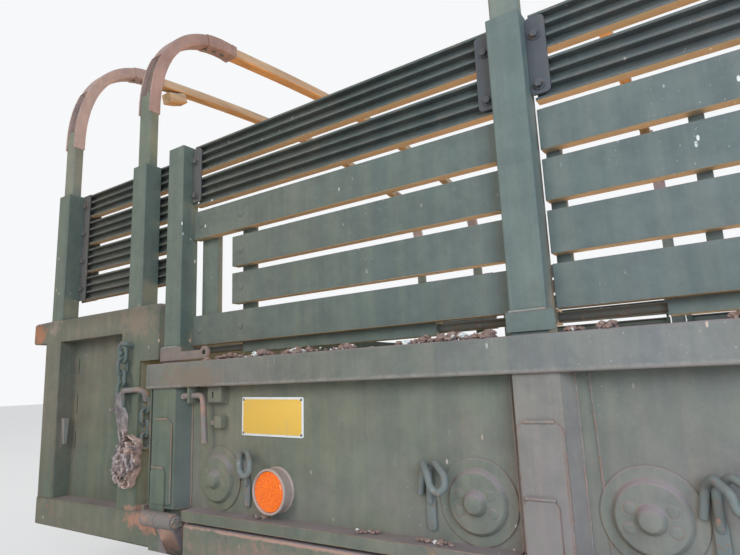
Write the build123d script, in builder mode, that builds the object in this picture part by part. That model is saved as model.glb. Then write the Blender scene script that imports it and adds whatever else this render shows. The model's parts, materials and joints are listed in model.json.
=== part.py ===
"""Dropside cargo body of a military truck, with stakes, rack boards, folding troop seats and bows.

Millimetres. +X is the vehicle's front, +Y its left side, +Z up. The origin is the centre of the
rectangle of bolt holes that fastens the body to a chassis, at the underside of the main sills.
"""
import os
from math import cos, pi, sin

from build123d import *

os.makedirs("parts", exist_ok=True)

# Driving sizes of the whole body
HALF_L = 2191.0
RAIL_Y = 1220.0
MAIN_SILL_H = 125.0
SILL_H = 75.0
DECK_Z = MAIN_SILL_H + SILL_H
SHEET = 4.0
FIT = 0.3
RUN = 6.0

# Stakes along the gate: the front one, their pitch and their number
STAKE_X1 = 1505.0
STAKE_PITCH = 880.0
STAKE_COUNT = 5
STAKE_W = 60.0
STAKE_D = 50.0
STAKE_WALL = 4.0
STAKE_TOP = DECK_Z + 903.0
STAKE_OUT_Y = RAIL_Y - 26.0
STAKE_IN_Y = STAKE_OUT_Y - STAKE_D
STAKE_XS = [STAKE_X1 - i * STAKE_PITCH for i in range(STAKE_COUNT)]
MIDDLE_POST_SHIFT = -8.0
POST_XS = [STAKE_XS[0]] + [x + MIDDLE_POST_SHIFT for x in STAKE_XS[1:-1]] + [STAKE_XS[-1]]
COLLAR_T = 5.0
COLLAR_H = 32.0
COLLAR_LUG = 12.0
EAR_L = 107.0
EAR_HOLE_R = 5.0
EAR_HOLE_IN = 16.0

# Sills
SILL_IN_Y = 1110.0
SILL_OUT_Y = STAKE_OUT_Y + 6.0
SILL_WALL = 5.0
FIXED_Y = RAIL_Y - 33.0
MAIN_SILL_Y = 432.0
MAIN_SILL_W = 80.0
MAIN_SILL_WALL = 6.0
MAIN_SILL_HALF = 2090.0
CROSS_W = 70.0
CROSS_WALL = 5.0
CROSS_PITCH = 508.0
CROSS_XS = [i * CROSS_PITCH for i in range(-4, 5)]

# Chassis bolt holes and their brackets
BOLT_X = 1500.0
BOLT_Y = 525.0
BOLT_R = 8.75
BOLT_EDGE = 35.0
BRACKET_L = 140.0
BRACKET_T = 10.0
BRACKET_H = MAIN_SILL_H - 20.0

# Deck boards
BOARD_T = 26.0
BOARD_COUNT = 11
BOARD_GAP = 4.0
DECK_HALF_W = SILL_IN_Y - 8.0

# Hinges: a knuckle on the gate, a knuckle on the sill behind it, and a pin welded into the sill's
HINGE_Y = RAIL_Y + 4.0
HINGE_Z = DECK_Z + 3.0
PIN_R = 8.0
PIN_GAP = 0.05
PIN_HEAD_R = 13.0
PIN_HEAD_L = 8.0
KNUCKLE_R = 17.0
KNUCKLE_SIDES = 8
GATE_KNUCKLE = (-12.0, 38.0)
KNUCKLE_GAP = 1.0
SILL_KNUCKLE = (-70.0, GATE_KNUCKLE[0] - KNUCKLE_GAP)
HINGE_BREAK = 92.0

# Gates: outline and sections
GATE_TOP = DECK_Z + 350.0
GATE_LOW = DECK_Z + RUN
GATE_OVER = 58.0
GATE_FRONT = STAKE_X1 + GATE_OVER
GATE_REAR = STAKE_XS[-1] - GATE_OVER
PANEL_Y = RAIL_Y - 44.0
RAIL_H = 58.0
RAIL_T = 6.0
LEDGE_Z = DECK_Z + 24.0
HAT_FACE_Y = RAIL_Y - 10.0
HAT_HALF = 36.0
END_HAT_HALF = 42.0
HAT_BEVEL = 14.0
END_HAT_BEVEL = 26.0
STRAP_T = 5.0
STRAP_HALF = 33.0
STRAP_LOW = LEDGE_Z + 10.0
STRAP_TOP = DECK_Z + 221.0
PAD_T = 3.5
PAD_HALF = 26.0
PAD_TOP = DECK_Z + 113.0
STRAP_CUT = 9.0
STAKE_ROOM = 11.0
LEDGE_BREAK = (-84.0, 50.0)

# What the gates carry
DISH_Z = DECK_Z + 98.0
DISH_R = 67.5
DISH_FOOT_R = 54.0
DISH_TOP_R = 46.0
DISH_RIM = 3.0
DISH_H = 13.0
DISH_SIDES = 12
BOSS_R = 21.0
BOSS_TOP_R = 17.0
BOSS_H = 9.0
BOSS_SIDES = 8
HOOK_Z = DECK_Z + 79.0
ROD_R = 6.35
HOOK_HALF = 11.0
HOOK_TOP = 66.0
HOOK_OUT = 44.0
HOOK_ARCH_OUT = 30.0
HOOK_LOOP_Z = 8.0
HOOK_FREE_Z = 14.0
HOOK_SHANK = 34.0
GATE_FITTINGS = [
    # post in front, dish behind it, hook behind it, dish ahead of the next post, hook ahead of it
    (0, 160.0, 262.0, 111.0, 204.0),
    (1, 141.0, 230.0, 111.0, 204.0),
    (2, 141.0, 230.0, 111.0, 204.0),
    (3, 141.0, 230.0, 141.0, 234.0),
]
LATCH_Y = RAIL_Y - 18.0
LATCH_Z = DECK_Z + 273.0
LATCH_ROD_R = 7.0
LATCH_LUG_H = 36.0
LATCH_CLIP_Z = DECK_Z + 206.0
REFLECTOR_X = STAKE_X1 - 334.0
REFLECTOR_Z = DECK_Z + 82.0
REFLECTOR_R = 45.0
REFLECTOR_LENS_R = 38.0
REFLECTOR_D = 26.0
REFLECTOR_SIDES = 20
PLATE_X = STAKE_X1 - 319.0
PLATE_Z = DECK_Z + 225.0
PLATE_L = 174.0
PLATE_H = 80.0
PLATE_T = 2.0

# Rear end and tailgate
REAR_X = HALF_L - (RAIL_Y - SILL_OUT_Y)
REAR_SILL_D = 60.0
REAR_POST_L = GATE_REAR + HALF_L - RUN
REAR_POST_IN_Y = 1104.0
TAIL_HALF = REAR_POST_IN_Y - 14.0
TAIL_HINGE_X = HALF_L + HINGE_Y - RAIL_Y
DECK_REAR = -HALF_L + RAIL_Y - PANEL_Y + RUN
TAIL_POSTS_Y = [-900.0, 0.0, 900.0]

# Fixed front side sections and front wall
FIXED_TOP = DECK_Z + 506.0
FIXED_RAIL_H = 66.0
POST_W = 82.0
POST_D = 75.0
POST_A_X = 2075.0
POST_B_X = 1681.0
POST_WALL = 5.0
FRONT_X = POST_A_X + POST_W / 2
CORNER_REAR = GATE_FRONT + 2.0
CORNER_LOW = GATE_TOP + 13.0
PANEL_RECESS = 48.0
FRONT_WALL_T = 44.0
FRONT_FOOT_H = 50.0
FRONT_RIBS_Y = [-760.0, -380.0, 0.0, 380.0, 760.0]
FRONT_RIB_HALF = 48.0
FRONT_RIB_FACE = 30.0
FRONT_RIB_D = 36.0

# Rack boards and seats
PLANK_H = 72.0
PLANK_T = 22.0
PLANK_WEB = 7.0
PLANK_RIB = 5.0
PLANK_PITCH = 88.5
RACK_TOP = STAKE_TOP + 2.0
SEAT_ROWS = 4
BACK_ROWS = 2
PLANK_Y = STAKE_OUT_Y - 32.0
SIDE_GAP = 6.0
SEAT_AXIS_Y = STAKE_IN_Y - 22.0
SEAT_Z = RACK_TOP - 5 * PLANK_PITCH - PLANK_H
SEAT_AXIS_Z = SEAT_Z - 10.0
SEAT_ROD_R = 8.0
EYE_HALF = 13.0
SLAT_INSET = 140.0
BATTEN_X = 176.0
BATTEN_W = 46.0
BATTEN_T = 6.0
LEG_X = 36.0
LEG_W = 56.0
LEG_D = 16.0
LEG_WALL = 4.0
LEG_SHORT = 30.0
ANGLE_L = 46.0
ANGLE_SHORT = 8.0
RACK_PLATE_W = 48.0

# Bows
BOW_W = 50.0
BOW_T = 29.0
BOW_Y = STAKE_IN_Y + STAKE_D / 2
BOW_FOOT = STAKE_TOP - 120.0
BOW_CORNER_Z = 1550.0
BOW_BEND_R = 200.0
BEAM_T = 44.0
BEAM_END_Y = 890.0
BEAM_END_Z = 1690.0
RIDGE_Z = 1820.0
SLEEVE_L = 110.0
SLEEVE_T = 6.0

# Chains
LINK_L = 48.0
LINK_W = 33.0
LINK_BAR = 9.0
LINK_CUT = 9.9
LINK_INNER_CUT = 2.5
CHAIN_PEG_R = 4.5


def keep(part, name):
    """Label one finished node and write it."""
    part.label = name
    export_step(part, f"parts/{name}.step")


def keep_pair(part, name):
    """Write a left node and its mirror image on the right."""
    keep(part, name + "_left")
    keep(part.mirror(Plane.XZ), name + "_right")


def block(xs, ys, zs, mode=Mode.ADD):
    """A plate or bar between pairs of faces."""
    middle = ((xs[0] + xs[1]) / 2, (ys[0] + ys[1]) / 2, (zs[0] + zs[1]) / 2)
    with Locations(middle):
        Box(abs(xs[1] - xs[0]), abs(ys[1] - ys[0]), abs(zs[1] - zs[0]), mode=mode)


def tube(xs, ys, zs, wall, along):
    """A rectangular tube, open at both ends of the axis it runs along."""
    block(xs, ys, zs)
    cuts = {
        "x": (xs, (ys[0] + wall, ys[1] - wall), (zs[0] + wall, zs[1] - wall)),
        "y": ((xs[0] + wall, xs[1] - wall), ys, (zs[0] + wall, zs[1] - wall)),
        "z": ((xs[0] + wall, xs[1] - wall), (ys[0] + wall, ys[1] - wall), zs),
    }
    block(*cuts[along], mode=Mode.SUBTRACT)


def rod_x(xs, y, z, radius, mode=Mode.ADD):
    """A round bar along X."""
    with Locations(Location(((xs[0] + xs[1]) / 2, y, z), (0, 90, 0))):
        Cylinder(radius, abs(xs[1] - xs[0]), mode=mode)


def profile(plane, points, length, mode=Mode.ADD):
    """A closed outline of straight edges, extruded from its plane."""
    with BuildSketch(plane) as section:
        with BuildLine():
            Polyline(*points, close=True)
        make_face()
    extrude(section.sketch, amount=length, mode=mode)


def bent_bar(points, radius):
    """A bar of six flats, mitred at each corner of its route."""
    with BuildLine() as route:
        Polyline(*points)
    with BuildSketch(Plane(origin=route.line @ 0, z_dir=route.line % 0)) as bar:
        RegularPolygon(radius, 6)
    sweep(bar.sketch, path=route.line, transition=Transition.RIGHT)


# Main sills: two channels, open inwards
with BuildPart() as main_sills:
    for side in (-1, 1):
        with BuildSketch(Plane.YZ) as channel:
            with Locations((side * MAIN_SILL_Y, MAIN_SILL_H / 2)):
                Rectangle(MAIN_SILL_W, MAIN_SILL_H)
            with Locations((side * (MAIN_SILL_Y - MAIN_SILL_WALL), MAIN_SILL_H / 2)):
                Rectangle(MAIN_SILL_W, MAIN_SILL_H - 2 * MAIN_SILL_WALL, mode=Mode.SUBTRACT)
        extrude(channel.sketch, amount=MAIN_SILL_HALF, both=True)
keep(main_sills.part, "main_sills")

# Brackets on the main sills, each with a foot and a hole for a chassis bolt
with BuildPart() as mount_brackets:
    web_y = MAIN_SILL_Y + MAIN_SILL_W / 2
    for sx in (-1, 1):
        for sy in (-1, 1):
            angle = [
                (sy * web_y, 0),
                (sy * (BOLT_Y + BOLT_EDGE), 0),
                (sy * (BOLT_Y + BOLT_EDGE), BRACKET_T),
                (sy * (web_y + BRACKET_T), BRACKET_T),
                (sy * (web_y + BRACKET_T), BRACKET_H),
                (sy * web_y, BRACKET_H),
            ]
            profile(Plane.YZ.offset(sx * BOLT_X - BRACKET_L / 2), angle, BRACKET_L)
            with Locations((sx * BOLT_X, sy * BOLT_Y, BRACKET_T / 2)):
                Cylinder(BOLT_R, BRACKET_T + 2, mode=Mode.SUBTRACT)
keep(mount_brackets.part, "mount_brackets")

# Cross sills: channels on the main sills, open to the rear
with BuildPart() as cross_sills:
    for x in CROSS_XS:
        with BuildSketch(Plane.XZ) as channel:
            with Locations((x, MAIN_SILL_H + SILL_H / 2)):
                Rectangle(CROSS_W, SILL_H)
            with Locations((x - CROSS_WALL, MAIN_SILL_H + SILL_H / 2)):
                Rectangle(CROSS_W, SILL_H - 2 * CROSS_WALL, mode=Mode.SUBTRACT)
        extrude(channel.sketch, amount=SILL_IN_Y, both=True)
keep(cross_sills.part, "cross_sills")

# Deck boards
with BuildPart() as floor:
    width = (2 * DECK_HALF_W - (BOARD_COUNT - 1) * BOARD_GAP) / BOARD_COUNT
    for i in range(BOARD_COUNT):
        low = -DECK_HALF_W + i * (width + BOARD_GAP)
        block((DECK_REAR, FRONT_X - FRONT_WALL_T), (low, low + width), (DECK_Z, DECK_Z + BOARD_T))
keep(floor.part, "floor")


def sill_knuckle(post):
    """A sill's knuckle behind a gate's, with the pin that the gate turns on and the pin's head.

    It is drawn for a hinge along X at the side gate's axis, for a post at this x.
    """
    web = [
        (HINGE_Y, HINGE_Z),
        (SILL_OUT_Y, DECK_Z),
        (SILL_OUT_Y, MAIN_SILL_H),
        (HINGE_Y + KNUCKLE_R / 2, HINGE_Z - KNUCKLE_R * 0.8),
    ]
    with BuildSketch(Plane.YZ.offset(post + SILL_KNUCKLE[0])) as section:
        with Locations((HINGE_Y, HINGE_Z)):
            RegularPolygon(KNUCKLE_R, KNUCKLE_SIDES)
        with BuildLine():
            Polyline(*web, close=True)
        make_face()
    extrude(section.sketch, amount=SILL_KNUCKLE[1] - SILL_KNUCKLE[0])
    rod_x((post + SILL_KNUCKLE[1] - 1, post + GATE_KNUCKLE[1]), HINGE_Y, HINGE_Z, PIN_R)
    with BuildSketch(Plane.YZ.offset(post + SILL_KNUCKLE[0] - PIN_HEAD_L)) as head:
        with Locations((HINGE_Y, HINGE_Z)):
            RegularPolygon(PIN_HEAD_R, KNUCKLE_SIDES)
    extrude(head.sketch, amount=PIN_HEAD_L)


# Side sill: a box with stake pockets, an outer channel between the hinges, and the hinges' knuckles
with BuildPart() as side_sill:
    sill_zs = (MAIN_SILL_H, DECK_Z)
    tube((-REAR_X + REAR_SILL_D, GATE_FRONT), (SILL_IN_Y, SILL_OUT_Y), sill_zs, SILL_WALL, "x")
    tube((GATE_FRONT, FRONT_X), (SILL_IN_Y, FIXED_Y), sill_zs, SILL_WALL, "x")
    for x in STAKE_XS:
        pocket = STAKE_W / 2 + FIT
        block((x - pocket, x + pocket), (STAKE_IN_Y - FIT, STAKE_OUT_Y + FIT),
              (MAIN_SILL_H + SILL_WALL, DECK_Z + 1), mode=Mode.SUBTRACT)
    for front_x, rear_x in zip(STAKE_XS, STAKE_XS[1:]):
        channel = [
            (SILL_OUT_Y, DECK_Z),
            (RAIL_Y, DECK_Z),
            (RAIL_Y, MAIN_SILL_H),
            (RAIL_Y - SILL_WALL, MAIN_SILL_H),
            (RAIL_Y - SILL_WALL, DECK_Z - SILL_WALL),
            (SILL_OUT_Y, DECK_Z - SILL_WALL),
        ]
        rear = rear_x + HINGE_BREAK
        profile(Plane.YZ.offset(rear), channel, front_x - HINGE_BREAK - rear)
    for x in POST_XS:
        sill_knuckle(x)
keep_pair(side_sill.part, "side_sill")

# Rear sill with the tailgate's knuckles
with BuildPart() as tail_knuckles:
    for y in TAIL_POSTS_Y:
        sill_knuckle(y)
TO_REAR = Location((RAIL_Y - HALF_L, 0, 0), (0, 0, 90))
with BuildPart() as rear_sill:
    tube((-REAR_X, -REAR_X + REAR_SILL_D), (-SILL_OUT_Y, SILL_OUT_Y), (MAIN_SILL_H, DECK_Z), SILL_WALL, "y")
    add(tail_knuckles.part.moved(TO_REAR))
keep(rear_sill.part, "rear_sill")

# Rear corner posts
with BuildPart() as rear_posts:
    for side in (-1, 1):
        ys = sorted((side * REAR_POST_IN_Y, side * SILL_OUT_Y))
        tube((-HALF_L, -HALF_L + REAR_POST_L), ys, (DECK_Z, GATE_TOP), POST_WALL, "z")
        block((-HALF_L, -HALF_L + REAR_POST_L), ys, (GATE_TOP - POST_WALL, GATE_TOP))
keep(rear_posts.part, "rear_posts")

# Fixed front side section: two posts, an overhanging top rail, a corner box and a recessed panel
with BuildPart() as fixed_side:
    in_y = FIXED_Y - POST_D
    rail_low = FIXED_TOP - FIXED_RAIL_H
    skirt = (CORNER_LOW, rail_low + 1)
    tube((CORNER_REAR, HALF_L), (in_y, FIXED_Y), (rail_low, FIXED_TOP), POST_WALL, "x")
    block((HALF_L - POST_WALL, HALF_L), (in_y, FIXED_Y), (rail_low, FIXED_TOP))
    block((CORNER_REAR, CORNER_REAR + POST_WALL), (in_y, FIXED_Y), (CORNER_LOW, FIXED_TOP))
    block((CORNER_REAR, POST_B_X), (FIXED_Y - POST_WALL, FIXED_Y), skirt)
    block((CORNER_REAR, POST_B_X), (in_y, in_y + POST_WALL), skirt)
    block((POST_B_X - POST_W / 2, POST_A_X + POST_W / 2),
          (FIXED_Y - PANEL_RECESS - SHEET, FIXED_Y - PANEL_RECESS), (DECK_Z, rail_low + 1))
    for x in (POST_A_X, POST_B_X):
        inner = POST_W / 2 - POST_WALL
        block((x - POST_W / 2, x + POST_W / 2), (in_y, FIXED_Y), (DECK_Z, rail_low + 1))
        block((x - inner, x + inner), (in_y + POST_WALL, FIXED_Y - POST_WALL),
              (DECK_Z - 1, FIXED_TOP + 1), mode=Mode.SUBTRACT)
keep_pair(fixed_side.part, "fixed_side")

# Front wall: a panel with vertical ribs between the fixed sections, and a top rail
with BuildPart() as front_wall:
    half = FIXED_Y - POST_D
    rear = FRONT_X - FRONT_WALL_T
    block((rear, rear + SHEET), (-half, half), (DECK_Z, FIXED_TOP))
    tube((rear, FRONT_X), (-half, half), (FIXED_TOP - FIXED_RAIL_H, FIXED_TOP), SHEET, "y")
    tube((rear, FRONT_X), (-half, half), (DECK_Z, DECK_Z + FRONT_FOOT_H), SHEET, "y")
    rib_low = DECK_Z + FRONT_FOOT_H - SHEET
    for y in FRONT_RIBS_Y:
        outline = [
            (rear + SHEET, y - FRONT_RIB_HALF),
            (rear + FRONT_RIB_D, y - FRONT_RIB_FACE),
            (rear + FRONT_RIB_D, y + FRONT_RIB_FACE),
            (rear + SHEET, y + FRONT_RIB_HALF),
            (rear + SHEET, y + FRONT_RIB_HALF - SHEET),
            (rear + FRONT_RIB_D - SHEET, y + FRONT_RIB_FACE - SHEET / 2),
            (rear + FRONT_RIB_D - SHEET, y - FRONT_RIB_FACE + SHEET / 2),
            (rear + SHEET, y - FRONT_RIB_HALF + SHEET),
        ]
        profile(Plane.XY.offset(rib_low), outline, FIXED_TOP - FIXED_RAIL_H + SHEET - rib_low)
keep(front_wall.part, "front_wall")

# Stakes: tubes in the side sill's pockets and in the fixed section's posts, with foot collars
with BuildPart() as stakes:
    collar_zs = (GATE_TOP + RUN, GATE_TOP + RUN + COLLAR_H)
    for x in STAKE_XS:
        xs = (x - STAKE_W / 2, x + STAKE_W / 2)
        wide = (xs[0] - COLLAR_LUG, xs[1] + COLLAR_T)
        tube(xs, (STAKE_IN_Y, STAKE_OUT_Y), (MAIN_SILL_H + SILL_WALL, STAKE_TOP), STAKE_WALL, "z")
        block(wide, (STAKE_OUT_Y, STAKE_OUT_Y + COLLAR_T), collar_zs)
        block((xs[1], wide[1]), (STAKE_IN_Y, STAKE_OUT_Y), collar_zs)
        block(xs, (STAKE_IN_Y, STAKE_OUT_Y), (BOW_FOOT - STAKE_WALL, BOW_FOOT))
    ear_rear = STAKE_X1 - STAKE_W / 2 - EAR_L
    ear_y = STAKE_OUT_Y + COLLAR_T / 2
    ear_z = GATE_TOP + RUN + COLLAR_H / 2
    block((ear_rear, STAKE_X1), (STAKE_OUT_Y, STAKE_OUT_Y + COLLAR_T), (collar_zs[0], ear_z + 4))
    with Locations((ear_rear + EAR_HOLE_IN, ear_y, (collar_zs[0] + ear_z + 4) / 2)):
        Box(2 * EAR_HOLE_R, COLLAR_T + 2, 2 * EAR_HOLE_R, mode=Mode.SUBTRACT)
    for x in (POST_A_X, POST_B_X):
        xs = (x - STAKE_W / 2, x + STAKE_W / 2)
        ys = (FIXED_Y - POST_WALL - FIT - STAKE_D, FIXED_Y - POST_WALL - FIT)
        tube(xs, ys, (DECK_Z, STAKE_TOP), STAKE_WALL, "z")
        block(xs, ys, (BOW_FOOT - STAKE_WALL, BOW_FOOT))
keep_pair(stakes.part, "stakes")


def hat(x, half, bevels, z_low, z_high):
    """A vertical hat section on a gate's panel, with its own bevel ahead and behind."""
    foot_y = PANEL_Y + SHEET
    flanks = []
    for way, bevel in zip((1, -1), bevels):
        slope = bevel / (HAT_FACE_Y - foot_y)
        wall = SHEET * (1 + slope ** 2) ** 0.5
        flanks.append([
            (x + way * half, HAT_FACE_Y),
            (x + way * (half + bevel), foot_y),
            (x + way * (half + bevel - wall), foot_y),
            (x + way * (half + slope * SHEET - wall), HAT_FACE_Y - SHEET),
        ])
    profile(Plane.XY.offset(z_low), flanks[0] + flanks[1][::-1], z_high - z_low)


def cut_plate(x, half, ys, zs):
    """An upright plate whose two top corners are cut off."""
    outline = [
        (x - half, zs[0]),
        (x + half, zs[0]),
        (x + half, zs[1] - STRAP_CUT),
        (x + half - STRAP_CUT, zs[1]),
        (x - half + STRAP_CUT, zs[1]),
        (x - half, zs[1] - STRAP_CUT),
    ]
    profile(Plane.XZ.offset(-ys[1]), outline, ys[1] - ys[0])


def gate_frame(front, rear, posts, stakes_behind):
    """A hinged gate along X: panel, top rail, ledge, hat posts, and hinge straps with knuckles.

    The panel is cut away at each stake behind it, so that the stake stays behind when the gate
    swings out and down.
    """
    ledge_top = LEDGE_Z + SHEET
    section = [
        (PANEL_Y, GATE_LOW),
        (PANEL_Y + SHEET, GATE_LOW),
        (PANEL_Y + SHEET, LEDGE_Z),
        (RAIL_Y - SHEET, LEDGE_Z),
        (RAIL_Y - SHEET, GATE_LOW),
        (RAIL_Y, GATE_LOW),
        (RAIL_Y, ledge_top),
        (PANEL_Y + SHEET, ledge_top),
        (PANEL_Y + SHEET, GATE_TOP - RAIL_H),
        (RAIL_Y, GATE_TOP - RAIL_H),
        (RAIL_Y, GATE_TOP),
        (PANEL_Y, GATE_TOP),
    ]
    profile(Plane.YZ.offset(rear), section, front - rear)
    block((rear - 1, front + 1), (PANEL_Y + SHEET, RAIL_Y - RAIL_T),
          (GATE_TOP - RAIL_H + RAIL_T, GATE_TOP - RAIL_T), mode=Mode.SUBTRACT)
    notch = STAKE_W / 2 + STAKE_ROOM
    for x in stakes_behind:
        block((x - notch, x + notch), (PANEL_Y - 1, RAIL_Y - RAIL_T - RUN),
              (GATE_LOW - 1, GATE_TOP + 1), mode=Mode.SUBTRACT)
    for x in posts:
        block((x + LEDGE_BREAK[0], x + LEDGE_BREAK[1]), (PANEL_Y + SHEET, RAIL_Y + 1),
              (GATE_LOW - 1, ledge_top), mode=Mode.SUBTRACT)
    for x in posts:
        at_end = x in (posts[0], posts[-1])
        bevels = (END_HAT_BEVEL if x == posts[-1] else HAT_BEVEL, END_HAT_BEVEL if x == posts[0] else HAT_BEVEL)
        knuckle = (x + GATE_KNUCKLE[0], x + GATE_KNUCKLE[1])
        strap_ys = (HAT_FACE_Y, HAT_FACE_Y + STRAP_T)
        hat(x, END_HAT_HALF if at_end else HAT_HALF, bevels, LEDGE_Z, GATE_TOP - RAIL_H)
        cut_plate(x, STRAP_HALF, strap_ys, (STRAP_LOW, STRAP_TOP))
        cut_plate(x + (GATE_KNUCKLE[0] + GATE_KNUCKLE[1]) / 4, PAD_HALF,
                  (strap_ys[1], strap_ys[1] + PAD_T), (STRAP_LOW, PAD_TOP))
        block(knuckle, strap_ys, (HINGE_Z, STRAP_LOW + 1))
        with BuildSketch(Plane.YZ.offset(knuckle[0])) as barrel:
            with Locations((HINGE_Y, HINGE_Z)):
                RegularPolygon(KNUCKLE_R, KNUCKLE_SIDES)
        extrude(barrel.sketch, amount=knuckle[1] - knuckle[0])
        rod_x((knuckle[0] - 1, knuckle[1] + 1), HINGE_Y, HINGE_Z, PIN_R + PIN_GAP, mode=Mode.SUBTRACT)
    for xs in ((front - SHEET, front), (rear, rear + SHEET)):
        block(xs, (PANEL_Y, HAT_FACE_Y - SHEET), (LEDGE_Z, GATE_TOP - 1))


# Side gates
with BuildPart() as gate:
    gate_frame(GATE_FRONT, GATE_REAR, POST_XS, STAKE_XS)
keep_pair(gate.part, "gate")

# Tailgate: the same frame, narrower, turned to face the rear
with BuildPart() as tail_frame:
    gate_frame(TAIL_HALF, -TAIL_HALF, TAIL_POSTS_Y[::-1], [])
keep(tail_frame.part.moved(TO_REAR), "tailgate")

FITTING_XS = [
    # dish, hook, in pairs, one pair behind the post and one ahead of the next
    pair
    for post, dish_rear, hook_rear, dish_ahead, hook_ahead in GATE_FITTINGS
    for pair in (
        (STAKE_XS[post] - dish_rear, STAKE_XS[post] - hook_rear),
        (STAKE_XS[post + 1] + dish_ahead, STAKE_XS[post + 1] + hook_ahead),
    )
]


def step_of(x, sides, low_r, high_r, ys):
    """One tapered step of a dish that faces outwards."""
    plane = Plane(origin=(x, ys[0], DISH_Z), x_dir=(1, 0, 0), z_dir=(0, 1, 0))
    with BuildSketch(plane) as foot:
        RegularPolygon(low_r, sides)
    with BuildSketch(plane.offset(ys[1] - ys[0])) as head:
        RegularPolygon(high_r, sides)
    loft([foot.sketch, head.sketch], ruled=True)


# Tie-down dishes on the gate panels, each a flange, a raised dish and a boss
with BuildPart() as tie_downs:
    face = PANEL_Y + SHEET
    for x, hook_x in FITTING_XS:
        step_of(x, DISH_SIDES, DISH_R, DISH_R, (face, face + DISH_RIM))
        step_of(x, DISH_SIDES, DISH_FOOT_R, DISH_TOP_R, (face + DISH_RIM, face + DISH_H))
        step_of(x, BOSS_SIDES, BOSS_R, BOSS_TOP_R, (face + DISH_H, face + DISH_H + BOSS_H))
keep_pair(tie_downs.part, "tie_downs")

# Rope hooks: a bent rod with an outward loop, one leg free and one on a flattened shank
with BuildPart() as rope_hooks:
    near = face + FIT + ROD_R
    for dish_x, x in FITTING_XS:
        rear_x = x - HOOK_HALF
        front_x = x + HOOK_HALF
        bent_bar(
            [
                (rear_x, near, HOOK_Z - HOOK_SHANK / 2),
                (rear_x, near, HOOK_Z + HOOK_TOP),
                (rear_x, face + HOOK_ARCH_OUT, HOOK_Z + HOOK_TOP),
                (rear_x, face + HOOK_OUT, HOOK_Z + HOOK_LOOP_Z),
                (front_x, face + HOOK_OUT, HOOK_Z + HOOK_LOOP_Z),
                (front_x, face + HOOK_ARCH_OUT, HOOK_Z + HOOK_TOP),
                (front_x, near, HOOK_Z + HOOK_TOP),
                (front_x, near, HOOK_Z + HOOK_FREE_Z),
            ],
            ROD_R,
        )
        block((rear_x - HOOK_HALF, rear_x + HOOK_HALF), (face, near), (HOOK_Z - HOOK_SHANK, HOOK_Z))
keep_pair(rope_hooks.part, "rope_hooks")

# Gate latches under the top rail: two lugs, a bent slide bolt and a spring clip
LATCH_PLATES = [
    # from the gate's end, to, from the panel's face, to, lower edge, upper edge
    (150.0, 130.0, 0.0, RAIL_Y - RAIL_T - face, GATE_TOP - RAIL_H - LATCH_LUG_H, GATE_TOP - RAIL_H),
    (245.0, 195.0, 0.0, SHEET, GATE_TOP - RAIL_H - LATCH_LUG_H, GATE_TOP - RAIL_H),
    (199.0, 195.0, SHEET, RAIL_Y - RAIL_T - face, GATE_TOP - RAIL_H - LATCH_LUG_H, GATE_TOP - RAIL_H),
    (243.0, 219.0, 0.0, 20.0, LATCH_CLIP_Z, LATCH_CLIP_Z + 18.0),
]
LATCH_ROUTE = [
    # from the gate's end, outwards from the bolt's line, up from the bolt's line
    (122.0, 0.0, -9.0),
    (122.0, 0.0, 0.0),
    (184.0, 0.0, 0.0),
    (208.0, 2.0, -103.0),
]
with BuildPart() as latch:
    for far, close, low_y, high_y, low_z, high_z in LATCH_PLATES:
        block((GATE_FRONT - far, GATE_FRONT - close), (face + low_y, face + high_y), (low_z, high_z))
    bent_bar([(GATE_FRONT - dx, LATCH_Y + dy, LATCH_Z + dz) for dx, dy, dz in LATCH_ROUTE], LATCH_ROD_R)
with BuildPart() as latches:
    add(latch.part)
    mirror(latch.part, about=Plane.YZ.offset((GATE_FRONT + GATE_REAR) / 2))
keep_pair(latches.part, "latches")

# Side reflector in its ring, and the blank plate on the left gate
with BuildPart() as reflector:
    reflector_plane = Plane(origin=(REFLECTOR_X, face, REFLECTOR_Z), x_dir=(1, 0, 0), z_dir=(0, 1, 0))
    with BuildSketch(reflector_plane):
        RegularPolygon(REFLECTOR_R, REFLECTOR_SIDES)
    extrude(amount=REFLECTOR_D)
    with BuildSketch(reflector_plane.offset(REFLECTOR_D)):
        RegularPolygon(REFLECTOR_LENS_R, REFLECTOR_SIDES)
    extrude(amount=SHEET)
keep_pair(reflector.part, "reflector")

with BuildPart() as data_plate:
    with Locations((PLATE_X, face + PLATE_T / 2, PLATE_Z)):
        Box(PLATE_L, PLATE_T, PLATE_H)
keep(data_plate.part, "data_plate")


def plank(x_rear, x_front, smooth_y, z_low, ribs_to, ribs):
    """An extruded plank: a web on its smooth face, and ribs standing off it to ribs_to."""
    web_y = smooth_y + ribs_to * PLANK_WEB
    rib_y = smooth_y + ribs_to * PLANK_T
    outline = [(smooth_y, z_low + PLANK_H), (smooth_y, z_low)]
    for i in range(ribs):
        low = z_low + i * (PLANK_H - PLANK_RIB) / (ribs - 1)
        rib = [(web_y, low), (rib_y, low), (rib_y, low + PLANK_RIB), (web_y, low + PLANK_RIB)]
        outline += rib[(i == 0):4 - (i == ribs - 1)]
    profile(Plane.YZ.offset(x_rear), outline, x_front - x_rear)


def rows(first, count):
    """Lower edges of some of the rack's rows, counted from the lowest."""
    return [SEAT_Z + (first + i) * PLANK_PITCH for i in range(count)]


def bay(x):
    """The two ends of the boards between the stake at x and the next one."""
    return x - STAKE_PITCH + STAKE_W / 2 + SIDE_GAP, x - STAKE_W / 2 - SIDE_GAP


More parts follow.
